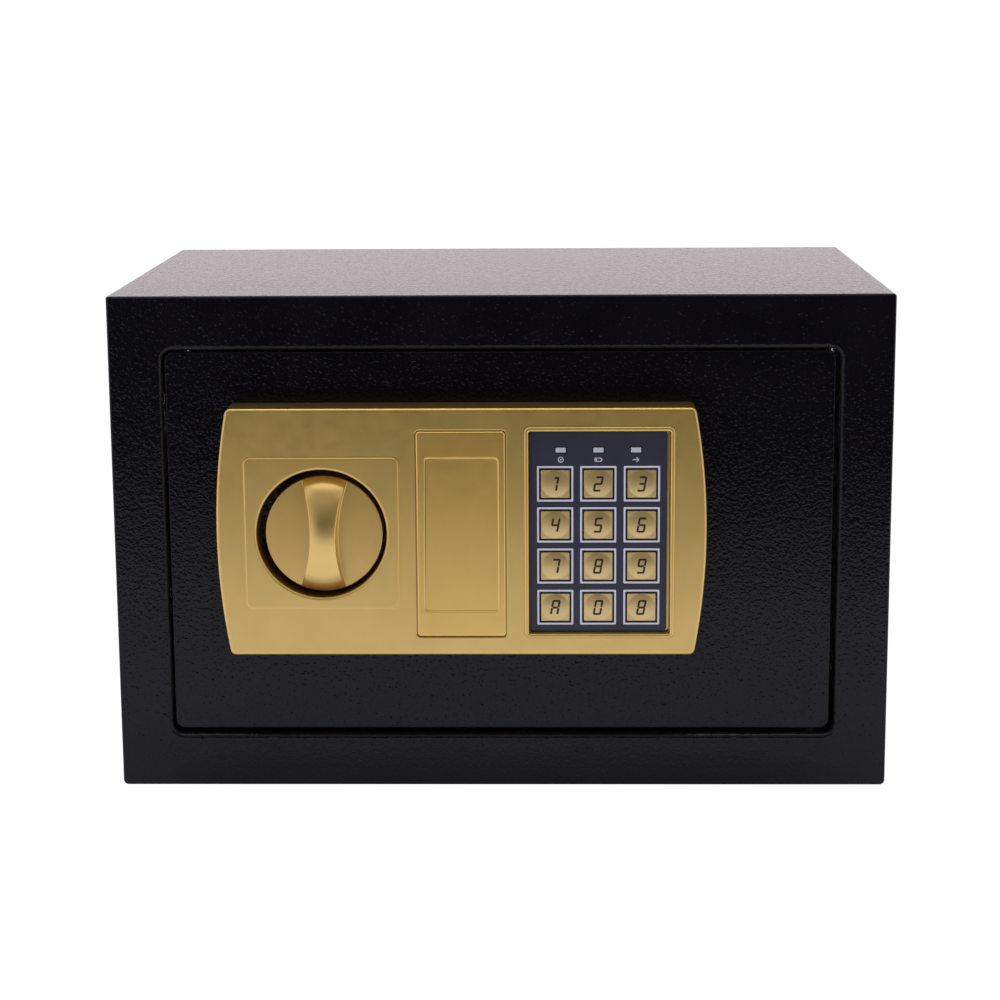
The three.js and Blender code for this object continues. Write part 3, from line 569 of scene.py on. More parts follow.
# ---------------------------------------------------------------- control panel
b = Build()
skirt = lambda g: panel_ring(-g)
pad = lambda g: rr(-100.6, -39.95, 77.75, 137.95, 2.6, 7, g)
well = lambda g: circ(HOLE_X, HOLE_Z, HOLE_R + g, 96)
bezel = lambda g: rr(*BEZEL, 2.4, 6, g)
recess = lambda g: rr(*RECESS, 1.7, 6, g)
pocket = lambda g: rr(*COVER, 1.3, 6, g + 0.3)
window = lambda g: rr(LOCK_X - 12.9, LOCK_X + 12.9, 79, 137, 0.4, 6, g)
keybox = lambda g: rr(13, 63.2, 69.9, 145.5, 0.5, 6, g)
PAD_Y = PY0 - 0.62
BACK_Y = PY0 + 2.5

# outer skirt with its front fillet, and the front face
outer = [at(panel_ring(2.5), PY1), at(panel_ring(0.2), PY1), at(panel_ring(0), PY1 - 0.2)] + fillet(skirt, PY0 + 1.15, -1, 1.15, 0, -1, 7)
outer.append(at(skirt(-1.5), PY0))
b.loft([at(panel_ring(2.5), BACK_Y)] + outer)
# pad: foot with a small cove, rounded shoulder
pad_rings = [at(pad(0.6), PY0), at(pad(0.26), PY0), at(pad(0.11), PY0 - 0.05), at(pad(0.03), PY0 - 0.16), at(pad(0), PY0 - 0.3), at(pad(-0.04), PY0 - 0.42), at(pad(-0.15), PY0 - 0.53), at(pad(-0.3), PY0 - 0.6), at(pad(-0.46), PAD_Y), at(pad(-0.8), PAD_Y)]
b.loft(pad_rings)
# well: lip rounded into the bore, wall down to the door
well_rings = [at(well(1.25), PAD_Y)] + list(reversed(fillet(well, PAD_Y + 0.9, -1, 0.9, 0, 1, 6)))
b.fill([pad_rings[-1], well_rings[0]])
b.loft(well_rings + [at(well(0), PY1), at(well(2.2), PY1), at(well(2.2), BACK_Y)])
# keypad bezel: a half-round bead round a recess
BW = 1.75
bead = []
for i in range(11):
    a = math.pi * i / 10
    g = -BW / 2 * (1 - math.cos(a))
    bead.append(at(bezel(g), PY0 - 0.66 * math.sin(a) ** 0.8 if 0 < i < 10 else PY0))
wall_foot = rr(RECESS[0] + 0.25, RECESS[1] - 0.5, RECESS[2] + 0.7, RECESS[3] - 0.2, 1.5, 6)
bezel_rings = [at(bezel(0.7), PY0), at(bezel(0.35), PY0), at(bezel(0.12), PY0 - 0.03)] + bead + [at(wall_foot, BACK_Y)]
b.loft(bezel_rings + [at(keybox(0), BACK_Y), at(keybox(0), PY0 + 4), at(rr(*BEZEL, 0.6, 6), PY0 + 4), at(rr(*BEZEL, 0.6, 6), BACK_Y)])
# pocket for the lock cover
pocket_rings = [at(pocket(0.6), PY0), at(pocket(0.3), PY0), at(pocket(0.1), PY0 + 0.08), at(pocket(0), PY0 + 0.3), at(pocket(0), PY0 + 1.3)]
b.loft(pocket_rings + [at(window(0.2), PY0 + 1.3), at(window(0), PY0 + 1.5), at(window(0), PY0 + 4),
                       at(rr(COVER[0] + 1, COVER[1] - 1, COVER[2] + 1, COVER[3] - 1, 0.6, 6), PY0 + 4),
                       at(rr(COVER[0] + 1, COVER[1] - 1, COVER[2] + 1, COVER[3] - 1, 0.6, 6), BACK_Y)])
b.fill([outer[-1], pad_rings[0], bezel_rings[0], pocket_rings[0]])
b.fill([at(panel_ring(2.5), BACK_Y), at(well(2.2), BACK_Y), at(rr(*BEZEL, 0.6, 6), BACK_Y),
        at(rr(COVER[0] + 1, COVER[1] - 1, COVER[2] + 1, COVER[3] - 1, 0.6, 6), BACK_Y)])
place(obj_from("control_panel_shell", b, [PANEL_GOLD], sharp=32), "door", "gold_paint", "control_panel")

# ---------------------------------------------------------------- cover over the override lock
b = Build()
cover = lambda g: rr(*COVER, 1.25, 6, g)
dip = lambda g: rr(-30.4, -0.65, 76.1, 138.1, 2.0, 7, g)
FACE_Y = PY0 - 0.6
rings = [at(cover(0), PY0 + 1), at(cover(0), FACE_Y + 0.75)] + fillet(cover, FACE_Y + 0.75, -1, 0.75, 0, -1, 6)[1:]
rings += [at(cover(-1.05), FACE_Y), at(dip(0.45), FACE_Y), at(dip(0.1), FACE_Y), at(dip(0.0), FACE_Y + 0.03), at(dip(-0.12), FACE_Y + 0.15), at(dip(-0.24), FACE_Y + 0.27), at(dip(-0.4), FACE_Y + 0.32), at(dip(-0.75), FACE_Y + 0.32)]
b.loft(rings)
b.fill([rings[0]])
b.fill([rings[-1]])
for s in (-1, 1):
    x0, x1 = sorted((LOCK_X + s * 10.6, LOCK_X + s * 12.4))
    b.block(x0, x1, PY0 + 0.6, PY0 + 8, 102, 114, 0.4)
place(obj_from("lock_cover", b, [COVER_GOLD], sharp=32), "keyhole_cover", "gold_paint", "keyhole_cover")

# ---------------------------------------------------------------- knob
TILT = math.radians(1.5)
RC = 23.12


def half_width(v):
    """Half width of the grip at its foot, v along the grip."""
    v = abs(v)
    pts = ((0, 5.3), (5, 5.5), (10, 6.1), (15, 7.1), (20, 8.5), (23.6, 9.7))
    for (a, wa), (c, wc) in zip(pts[:-1], pts[1:]):
        if v <= c:
            # smooth through the measured widths
            i = pts.index((a, wa))
            pm, pn = pts[max(i - 1, 0)], pts[min(i + 2, len(pts) - 1)]
            t = (v - a) / (c - a)
            m0 = (wc - pm[1]) / (c - pm[0]) * (c - a) if i else 0.0
            m1 = (pn[1] - wa) / (pn[0] - a) * (c - a)
            return ((2 * t ** 3 - 3 * t * t + 1) * wa + (t ** 3 - 2 * t * t + t) * m0
                    + (-2 * t ** 3 + 3 * t * t) * wc + (t ** 3 - t * t) * m1)
    return pts[-1][1]


def soft_min(a, b, k):
    h = max(k - abs(a - b), 0.0) / k
    return min(a, b) - h * h * k / 4


def grip_height(u, v):
    """Arched along the grip, and turned to a taper round the knob's axis at both ends."""
    arch = 9.0 - (43.6 - math.sqrt(43.6 ** 2 - v * v))
    taper = 0.1 + (RC - math.hypot(u, v)) * 1.12
    return max(soft_min(arch, taper, 1.7), 0.1)


def knob_point(u, y, v):
    """u across, v along the grip, turned to the knob's rest tilt."""
    return (KNOB_X + u * math.cos(TILT) + v * math.sin(TILT), y, KNOB_Z - u * math.sin(TILT) + v * math.cos(TILT))


def grip_section(v, Hc):
    """Points across the grip at v, from foot to foot: (u, height above the drum face)."""
    w = half_width(v)
    crown = min(0.6, 0.12 * Hc)
    re = min(0.6, 0.5 * (Hc - crown))
    rb = min(0.3, 0.2 * Hc)
    edge = Hc - crown
    draft = 0.025
    side = []
    side.append((w + rb, -0.3))
    side.append((w + rb, 0.0))
    side.append((w + 0.3 * rb, 0.3 * rb))
    side.append((w, rb))
    top = edge - re
    wx = w - draft * max(top - rb, 0)
    side.append(((w + wx) / 2, (rb + top) / 2))
    for i in range(7):
        a = math.radians(5) + (math.pi / 2 - math.radians(5) - 0.10) * i / 6
        side.append((wx - re + re * math.cos(a), top + re * math.sin(a)))
    ue, he = side[-1]
    n = 7
    mid = []
    for i in range(1, n):
        t = 1 - i / n
        u = ue * t
        mid.append((u, he + (Hc - he) * (1 - t * t)))
    right = side + mid
    left = [(-u, h) for u, h in reversed(right)]
    return right + [(0.0, Hc)] + left


NV = 72
rows = []
for k in range(NV + 1):
    t = -1 + 2 * k / NV
    t = math.sin(t * math.pi / 2) * 0.6 + t * 0.4
    row = []
    count = len(grip_section(0.0, 9.0))
    for j in range(count):
        v, high = t * RC, grip_height(0.0, t * RC)
        for _ in range(8):
            u = grip_section(v, high)[j][0]
            v = t * math.sqrt(max(RC * RC - u * u, 1.0))
            high = grip_height(u, v)
        u, h = grip_section(v, high)[j]
        row.append(knob_point(u, RIM_Y - h, v))
    rows.append(row)
b = Build()
ids = b.loft(rows, closed=False)
# ends and underside of the grip, sunk in the drum
for row, sgn in ((rows[0], -1), (rows[-1], 1)):
    low = [(x, RIM_Y + 0.5, z) for x, y, z in row]
    b.loft([row, low], closed=False)
under = [[(x, RIM_Y + 0.5, z) for x, y, z in (r[0], r[-1])] for r in rows]
lower = []
for r in rows:
    a0, a1 = r[0], r[-1]
    lower.append([(a0[0] + (a1[0] - a0[0]) * i / 4, RIM_Y + 0.5, a0[2] + (a1[2] - a0[2]) * i / 4) for i in range(5)])
b.loft(lower, closed=False)
b.loft([[(r[0][0], RIM_Y + 0.5, r[0][2]) for r in rows], [r[0] for r in rows]], closed=False)
b.loft([[(r[-1][0], RIM_Y + 0.5, r[-1][2]) for r in rows], [r[-1] for r in rows]], closed=False)
ngrip = len(b.f)
b.mat = [0] * ngrip
b.lathe_y(KNOB_X, KNOB_Z, [(0, -6.3), (4.4, -6.3), (4.4, 0.9), (7, 0.9), (7, -7.5), (20.7, -7.5), (20.7, 0.9), (22.9, 0.9), (23.2, 0.6),
                           (23.2, RIM_Y + 0.45), (23.07, RIM_Y + 0.14), (22.75, RIM_Y), (0, RIM_Y)], 96, 1)
knob = obj_from("knob_cast", b, [KNOB_GOLD, DRUM_GOLD], sharp=34)
place(knob, "knob", "gold_paint", "knob")

# ---------------------------------------------------------------- keypad label
b = Build()
LABEL_Y = PY0 + 1.4
lab = lambda g: rr(*LABEL, 1.2, 5, g)
ap = lambda cx, cz, g=0.0: rr(cx - 5.65 - 0.4, cx + 5.65 + 0.4, cz - 5.55 - 0.4, cz + 5.55 + 0.4, 0.5, 3, g)
led = lambda cx, g=0.0: rr(cx - 2.33, cx + 2.33, LED_Z - 1.32, LED_Z + 1.32, 0.35, 3, g)
cuts = [lambda g, x=x, z=z: ap(x, z, g) for z in KEY_Z for x in KEY_X] + [lambda g, x=x: led(x, g) for x in LED_X]
b.loft([at(lab(0), LABEL_Y + 0.8), at(lab(0), LABEL_Y + 0.12), at(lab(-0.12), LABEL_Y)])
b.fill([at(lab(-0.12), LABEL_Y)] + [at(c(0.08), LABEL_Y) for c in cuts])
b.fill([at(lab(0), LABEL_Y + 0.8)] + [at(c(0), LABEL_Y + 0.8) for c in cuts])
for c in cuts:
    b.loft([at(c(0.08), LABEL_Y), at(c(0), LABEL_Y + 0.08), at(c(0), LABEL_Y + 0.8)])
PR_Y = LABEL_Y - 0.035


def printed(loops_out, loops_in):
    """A raised print line between two outlines, or a filled patch."""
    b.loft([at(loops_out, LABEL_Y + 0.02), at(loops_out, PR_Y)], 1)
    if loops_in:
        b.loft([at(loops_in, LABEL_Y + 0.02), at(loops_in, PR_Y)], 1)
        b.loft([at(loops_out, PR_Y), at(loops_in, PR_Y)], 1)
        b.loft([at(loops_out, LABEL_Y + 0.02), at(loops_in, LABEL_Y + 0.02)], 1)
    else:
        b.fill([at(loops_out, PR_Y)], 1)
        b.fill([at(loops_out, LABEL_Y + 0.02)], 1)


for z in KEY_Z:
    for x in KEY_X:
        printed(rr(x - 7.1, x + 7.1, z - 7.06, z + 7.06, 0.35, 3), rr(x - 6.38, x + 6.38, z - 6.34, z + 6.34, 0.2, 3))
# plain status pictograms: a ring with a dot, a battery, an open arrow
SYM_Z = 136.8


def stroke(points, width):
    """A printed line of one width through points."""
    out_l, out_r = [], []
    for i, (x, z) in enumerate(points):
        a, c = points[max(i - 1, 0)], points[min(i + 1, len(points) - 1)]
        dx, dz = c[0] - a[0], c[1] - a[1]
        q = math.hypot(dx, dz)
        out_l.append((x - dz / q * width / 2, z + dx / q * width / 2))
        out_r.append((x + dz / q * width / 2, z - dx / q * width / 2))
    printed(out_l + out_r[::-1], None)


sx = LED_X[0]
printed(circ(sx, SYM_Z, 1.15, 28), circ(sx, SYM_Z, 0.85, 28))
printed(circ(sx, SYM_Z, 0.34, 20), None)
sx = LED_X[1]
printed(rr(sx - 1.5, sx + 1.2, SYM_Z - 0.8, SYM_Z + 0.8, 0.25, 3), rr(sx - 1.22, sx + 0.92, SYM_Z - 0.52, SYM_Z + 0.52, 0.12, 3))
printed(rr(sx + 1.2, sx + 1.5, SYM_Z - 0.35, SYM_Z + 0.35, 0.1, 3), None)
printed(rr(sx - 1.05, sx - 0.55, SYM_Z - 0.36, SYM_Z + 0.36, 0.08, 3), None)
sx = LED_X[2]
stroke([(sx - 1.25, SYM_Z), (sx + 0.9, SYM_Z)], 0.32)
stroke([(sx + 0.2, SYM_Z + 0.9), (sx + 1.1, SYM_Z), (sx + 0.2, SYM_Z - 0.9)], 0.34)
place(obj_from("keypad_overlay", b, [LABEL_MAT, PRINT_LIGHT], sharp=30), "door", "label_ink", "keypad_label")

for name, x in zip(("led_left", "led_middle", "led_right"), LED_X):
    b = Build()
    shape = lambda g: rr(x - 2.0, x + 2.0, LED_Z - 0.97, LED_Z + 0.97, 0.2, 3, g)
    b.loft([at(shape(0), -7.7), at(shape(0), PY0 + 1.47)] + fillet(shape, PY0 + 1.47, -1, 0.12, 0, -1, 3)[1:], cap0=True, cap1=True)
    place(obj_from(name + "_lens", b, [LENS]), "door", "led_lens", name)

# ---------------------------------------------------------------- keys
DOME_R, DOME_H, CAP_Y = 5.42, 0.43, PY0 + 1.22
GLYPHS = {
    "key_1": [[(0.28, 1.86), (0.82, 2.0), (0.82, 1.06)], [(0.82, 0.94), (0.82, 0)]],
    "key_2": [[(0, 2), (1, 2), (1, 1), (0, 1), (0, 0), (1, 0)]],
    "key_3": [[(0, 2), (1, 2), (1, 1), (0.12, 1)], [(1, 0.9), (1, 0), (0, 0)]],
    "key_4": [[(0, 2), (0, 1), (0.9, 1)], [(1, 2), (1, 0)]],
    "key_5": [[(1, 2), (0, 2), (0, 1), (1, 1), (1, 0), (0, 0)]],
    "key_6": [[(1, 2), (0, 2), (0, 1.08)], [(0.1, 1), (1, 1), (1, 0), (0, 0), (0, 0.92)]],
    "key_7": [[(0, 2), (1, 2), (1, 1.06)], [(1, 0.94), (1, 0)]],
    "key_8": [[(0.12, 1), (0, 1.1), (0, 2), (1, 2), (1, 1.1), (0.88, 1), (0.12, 1)], [(0.02, 0.88), (0, 0), (1, 0), (0.98, 0.88)]],
    "key_9": [[(0.9, 1), (0, 1), (0, 2), (1, 2), (1, 1.08)], [(1, 0.92), (1, 0), (0, 0)]],
    "key_a": [[(0, 0), (0, 0.92)], [(0, 1.08), (0, 2), (1, 2), (1, 1.08)], [(0.1, 1), (0.9, 1)], [(1, 0.92), (1, 0)]],
    "key_0": [[(0, 1.08), (0, 2), (1, 2), (1, 1.08)], [(0, 0.92), (0, 0), (1, 0), (1, 0.92)]],
    "key_b": [[(0.12, 1), (0, 1.1), (0, 2), (1, 2), (1, 1.1), (0.88, 1), (0.12, 1)], [(0, 0.88), (0, 0), (1, 0), (1, 0.88)]],
}


def rounded_path(points, r=0.5, n=4):
    """A polyline in millimetres with its corners rounded, in even short steps."""
    out = [points[0]]
    for i in range(1, len(points) - 1):
        p, a, c = Vector(points[i]), Vector(points[i - 1]), Vector(points[i + 1])
        da, dc = (a - p), (c - p)
        q = min(r, da.length * 0.45, dc.length * 0.45)
        s, e = p + da.normalized() * q, p + dc.normalized() * q
        for k in range(n + 1):
            t = k / n
            w = (1 - t) ** 2 * s + 2 * t * (1 - t) * p + t * t * e
            out.append((w.x, w.y))
    out.append(points[-1])
    dense = [out[0]]
    for p, q in zip(out[:-1], out[1:]):
        d = math.hypot(q[0] - p[0], q[1] - p[1])
        if d < 1e-4:
            continue
        m = max(1, int(d / 0.45))
        dense += [(p[0] + (q[0] - p[0]) * k / m, p[1] + (q[1] - p[1]) * k / m) for k in range(1, m + 1)]
    return dense


def key(name, cx, cz):
    b = Build()

    def dome_y(x, z):
        return CAP_Y - DOME_H * max(0.0, 1 - (math.hypot(x - cx, z - cz) / DOME_R) ** 2)
    k = 56
    even = lambda r: circ(cx, cz, r, k)
    rings = [[(x, dome_y(x, z), z) for x, z in even(r)] for r in (0.1, 0.6, 1.2, 1.8, 2.4, 3.0, 3.6, 4.2, 4.7, 5.1, 5.3)]
    b.loft(rings)
    b.fill([rings[0]])
    rim = [at(even(5.38), CAP_Y - 0.014), at(even(5.46), CAP_Y)]
    b.loft([rings[-1]] + rim)
    cap = lambda g: rr(cx - 5.6, cx + 5.6, cz - 5.5, cz + 5.5, 0.4, 3, g)
    side = fillet(cap, CAP_Y + 0.1, -1, 0.1, 0, -1, 3)
    b.fill([side[-1], rim[-1]])
    flange = lambda g: rr(cx - 6.5, cx + 6.5, cz - 6.4, cz + 6.4, 0.6, 3, g)
    b.loft([at(cap(0), PY0 + 2.0)] + side)
    # flange and lower side walls of the cap in black plastic; the black partly stands for the shade in the gap round
    # the cap, a painted shade
    b.loft([at(flange(0), PY0 + 3.6), at(flange(0), PY0 + 2.6), at(cap(0), PY0 + 2.6), at(cap(0), PY0 + 2.0)], 2)
    b.fill([at(flange(0), PY0 + 3.6)], 2)
    # printed sign, measured between stroke centres, leaning to the right
    gw, gh, lean, sw = 2.5, 5.3, math.tan(math.radians(10.5)), 0.82
    for path in GLYPHS[name]:
        pts = []
        for gx, gz in path:
            z = (gz / 2 - 0.5) * gh
            pts.append((cx + (gx - 0.5) * gw + z * lean, cz + z))
        line = rounded_path(pts, 0.42)
        lo, hi, lob, hib = [], [], [], []
        rows = []
        for i, (x, z) in enumerate(line):
            a, c = line[max(i - 1, 0)], line[min(i + 1, len(line) - 1)]
            dx, dz = c[0] - a[0], c[1] - a[1]
            q = math.hypot(dx, dz)
            nx, nz = -dz / q * sw / 2, dx / q * sw / 2
            ex = 0.0
            row = []
            for t in (-1, -0.5, 0, 0.5, 1):
                px, pz = x + nx * t, z + nz * t
                row.append((px, dome_y(px, pz) - 0.03, pz))
            back = [(px, py + 0.05, pz) for px, py, pz in reversed(row)]
            rows.append(row + back)
        b.loft(rows, 1)
        for end in (rows[0], rows[-1]):
            i = b.points(end)
            for q in range(4):
                b.face((i[q], i[q + 1], i[8 - q], i[9 - q]), 1)
    o = obj_from(name + "_cap", b, [KEY_GOLD, INK, BLACK_PLASTIC], sharp=30, weld=0.002)
    place(o, name, "key_cap", name)


for r, z in enumerate(KEY_Z):
    for c, x in enumerate(KEY_X):
        key(KEY_NAMES[r * 3 + c], x, z)

# ---------------------------------------------------------------- inside pieces
def soften(node, body, slot, mats, r=0.35, pick=None, seg=2):
    """A piece with the CAD node's shape and its edges broken by r millimetres."""
    src = frame["nodes"][node]
    o = bpy.data.objects.new(node + "_piece", src.data.copy())
    bpy.context.scene.collection.objects.link(o)
    o.data.materials.clear()
    for m in mats:
        o.data.materials.append(m)
    bm = bmesh.new()
    bm.from_mesh(o.data)
    bmesh.ops.remove_doubles(bm, verts=bm.verts, dist=0.00001)
    bmesh.ops.recalc_face_normals(bm, faces=bm.faces)
    bmesh.ops.dissolve_limit(bm, angle_limit=math.radians(0.6), verts=bm.verts, edges=bm.edges)
    edges = [e for e in bm.edges if len(e.link_faces) == 2 and e.calc_face_angle(0.0) > math.radians(28)]
    bmesh.ops.bevel(bm, geom=edges, offset=r / 1000.0, offset_type="OFFSET", segments=seg, profile=0.5, affect="EDGES", clamp_overlap=True)
    bmesh.ops.remove_doubles(bm, verts=bm.verts, dist=0.000002)
    bmesh.ops.triangulate(bm, faces=[f for f in bm.faces if len(f.verts) > 4])
    if pick:
        for f in bm.faces:
            c = f.calc_center_median()
            f.material_index = pick(c.x * 1000, c.y * 1000 - FRONT, c.z * 1000)
    bm.to_mesh(o.data)
    bm.free()
    finish_shape(o, 40, 0.002)
    return place(o, body, slot, node)


def soft_profile(pts, r=0.3, n=3):
    """Rounds the corners of a (radius, position) profile."""
    out = [pts[0]]
    for i in range(1, len(pts) - 1):
        p, a, c = Vector(pts[i]), Vector(pts[i - 1]), Vector(pts[i + 1])
        q = min(r, (a - p).length * 0.45, (c - p).length * 0.45)
        s0, s1 = p + (a - p).normalized() * q, p + (c - p).normalized() * q
        for k in range(n + 1):
            t = k / n
            w = (1 - t) ** 2 * s0 + 2 * t * (1 - t) * p + t * t * s1
            out.append((w.x, w.y))
    out.append(pts[-1])
    return out


def turned(name, body, slot, node, mats, *parts, n=56, r=0.3, sharp=38.0):
    """Round piece: parts are (axis, a, b, profile, material index); the axis runs along X, Y or Z through (a, b)."""
    b = Build()
    for axis, p, q, profile, mat in parts:
        prof = soft_profile([(0.0, profile[0][1])] + list(profile) + [(0.0, profile[-1][1])], r)
        {"x": b.lathe_x, "y": b.lathe_y, "z": b.lathe_z}[axis](p, q, prof, n, mat)
    return place(obj_from(name, b, mats, sharp=sharp), body, slot, node)


soften("bolt_keeper", "cabinet", "zinc_plate", [STEEL], 0.4)
for n in ("hinge_bracket_upper", "hinge_bracket_lower"):
    soften(n, "cabinet", "zinc_plate", [STEEL], 0.4)

# felt mat: soft thin sheet with a little waviness and two punched holes
b = Build()
mx0, mx1, my0, my1, mz0, mz1 = mm("floor_mat")
flat = lambda pts, z: [(x, y, z + 0.05 * math.sin(x * 0.11 + 1.3) * math.cos(y * 0.13)) for x, y in pts]
outline = lambda g: rr(mx0, mx1, my0, my1, 3.0, 5, g)
dense = lambda pts: [((p[0] * (m - k) + q[0] * k) / m, (p[1] * (m - k) + q[1] * k) / m)
                     for p, q in zip(pts, pts[1:] + pts[:1]) for m in [max(1, int(math.hypot(q[0] - p[0], q[1] - p[1]) / 6))] for k in range(m)]
MAT_HOLES = (-75, 75)
base = dense(outline(0))
shrink = lambda pts, g: [(x * (1 - g / 149.0), my0 + (y - my0 - 73) * (1 - g / 73.0) + 73) for x, y in pts]
rim_rows = [(0.5, 0.0), (0.12, 0.25), (0.0, 0.7), (0.0, 1.3), (0.12, 1.7), (0.5, 1.95)]
b.loft([flat(shrink(base, g), mz0 + h) for g, h in rim_rows])
for level in (0.0, 1.95):
    b.fill([flat(shrink(base, 0.5), mz0 + level)] + [flat(circ(x, 130, 7.4, 40), mz0 + level) for x in MAT_HOLES])
for x in MAT_HOLES:
    b.loft([flat(circ(x, 130, 7 + g, 40), mz0 + h) for g, h in ((0.4, 0.0), (0.1, 0.25), (0.0, 0.7), (0.0, 1.3), (0.1, 1.7), (0.4, 1.95))])
mat_piece = place(obj_from("felt_mat", b, [FELT], sharp=60), "cabinet", "felt", "floor_mat")

soften("door_pan", "door", "black_coat", [COAT_IN], 0.5)
soften("inner_cover", "door", "black_coat", [COAT_IN], 0.35)
for i, (x, z) in enumerate(((-120, 40), (104, 40), (-120, 161), (104, 161))):
    name = "cover_screw_%d" % (i + 1)
    b = Build()
    head = [(0, 31), (1.1, 31), (1.7, 31.8), (1.7, 39.5), (3.5, 39.5), (3.5, 40.1), (3.3, 40.6), (2.8, 41.0), (1.9, 41.25), (1.0, 41.3), (0, 41.3)]
    b.lathe_y(x, z, head, 40)
    o = obj_from("cover_screw_head_%d" % (i + 1), b, [TURNED_Y], weighted=False)
    for dx, dz in ((2.0, 0.42), (0.42, 2.0)):
        c = Build()
        c.block(x - dx, x + dx, 40.3, 45, z - dz, z + dz, 0.1, n=1)
        boolean(o, obj_from("cutter", c, [], weighted=False))
    finish_shape(o, 38, 0.002)
    place(o, "door", "zinc_plate", name)
for name, z0, z1, p0, p1 in (("hinge_leaf_upper", 160, 176.5, 176, 189), ("hinge_leaf_lower", 24.5, 41, 11.5, 25)):
    b = Build()
    lx0, lx1, ly0, ly1 = mm(name)[:4]
    b.block(lx0, lx1, ly0, ly1, z0, z1, 0.5)
    pin = soft_profile([(0, p0), (2.5, p0), (2.5, p1), (0, p1)], 0.5)
    b.lathe_z(125.5, 8, pin, 40, 1)
    place(obj_from(name + "_welded", b, [STEEL, OXIDE]), "door", "zinc_plate", name)

# keypad stack
b = Build()
b.block(12, 64.2, -9.1, -8.1, 68.9, 134.5, 0.25)
for z in KEY_Z:
    for x in KEY_X:
        b.lathe_y(x, z, [(0, -9.36), (3.4, -9.36), (4.2, -9.28), (4.6, -9.05), (4.6, -8.9), (0, -8.9)], 36)
place(obj_from("keypad_rubber", b, [SILICONE]), "door", "silicone", "keypad_mat")
soften("keypad_board", "door", "circuit_board", [BOARD], 0.12)
soften("keypad_cable", "door", "ribbon", [RIBBON], 0.12)

# override lock
thread = [(6.3, -7), (9.2, -7), (9.4, -6.8), (9.4, 0), (11.8, 0), (11.8, 1.7), (9.4, 1.7), (9.4, 5.0)]
for k in range(14):
    thread += [(9.4, 5.4 + k), (9.0, 5.9 + k)]
thread += [(9.3, 19.6), (9.0, 20), (6.3, 20)]
b = Build()
b.lathe_y(LOCK_X, LOCK_Z, thread, 64, wrap=True)
place(obj_from("lock_barrel", b, [CAST], sharp=30), "door", "zinc_cast", "lock_housing")
soften("lock_nut", "door", "zinc_cast", [CAST], 0.6)
soften("lock_plug", "override", "brass_plug", [BRASS], 0.25)
soften("lock_cam", "override", "zinc_plate", [STEEL], 0.4)

# shaft, bush, bolts, studs
ang = math.radians(37.5)
crank = 9 / math.sin(ang)
crank_x, crank_z = KNOB_X + crank * math.sin(ang), KNOB_Z + crank * math.cos(ang)
turned("knob_spindle", "knob", "zinc_cast", "knob_shaft", [CAST, TURNED_Y],
       ("y", KNOB_X, KNOB_Z, [(4, -6), (4, 8), (19, 8), (19, 12)], 0), ("y", crank_x, crank_z, [(2.5, 11.6), (2.5, 18)], 1))
b = Build()
b.lathe_y(KNOB_X, KNOB_Z, [(4.3, 1.6), (6.8, 1.6), (7, 1.8), (7, 5.3), (9.3, 5.3), (9.5, 5.5), (9.5, 7.2), (9.3, 7.4), (4.3, 7.4)], 56, wrap=True)
place(obj_from("spindle_bush", b, [NYLON]), "door", "nylon", "shaft_bush")
soften("bolt_carrier", "bolts", "zinc_plate", [STEEL], 0.3)
for name, z in (("bolt_lower", 72), ("bolt_upper", 130)):
    turned(name + "_bar", "bolts", "bolt_steel", name, [TURNED_X], ("x", 21, z, [(6.8, -130.5), (8, -129.3), (8, -102.8)], 0), n=64, r=0.25)
for name, x, z in (("guide_post_lower", -70, 80), ("guide_post_upper", -70, 134)):
    turned(name + "_stud", "door", "zinc_cast", name, [CAST],
           ("y", x, z, [(4.6, 5.3), (4.6, 12.6), (2.9, 12.6), (2.9, 15.9), (4.9, 15.9), (4.9, 17.6)], 0), n=40, r=0.2)

# solenoid
soften("solenoid_body", "door", "solenoid", [STEEL], 0.5)
turned("solenoid_core", "blocker", "bolt_steel", "solenoid_plunger", [TURNED_Z],
       ("z", -62, 14.25, [(3, 37), (3, 56), (5.2, 56), (5.2, 57.6), (3, 57.6), (3, 64.9), (2.5, 65.4)], 0), n=40, r=0.2)
b = Build()
rows = []
for i in range(161):
    t = i / 160
    a = t * 3.2 * 2 * math.pi
    ca, sa = math.cos(a), math.sin(a)
    z = 50.75 + 4.55 * t
    rows.append([(-62 + (4.15 + 0.35 * math.cos(q)) * ca, 14.25 + (4.15 + 0.35 * math.cos(q)) * sa, z + 0.35 * math.sin(q)) for q in [2 * math.pi * k / 10 for k in range(10)]])
b.loft(rows)
for row in (rows[0], rows[-1]):
    ids = b.points(row)
    b.face(ids)
place(obj_from("solenoid_return_spring", b, [TURNED_Z], sharp=60), "blocker", "bolt_steel", "solenoid_spring")


# electronics and battery box
def board_pick(x, y, z):
    if y < 11.65:
        return 0 if y > 9.9 else 3
    if 6 <= x <= 22.1 and z < 61:
        return 1
    if 60 <= x <= 75 and z < 59:
        return 2
    if x > 80:
        return 2
    return 1 if x > 20 else 3


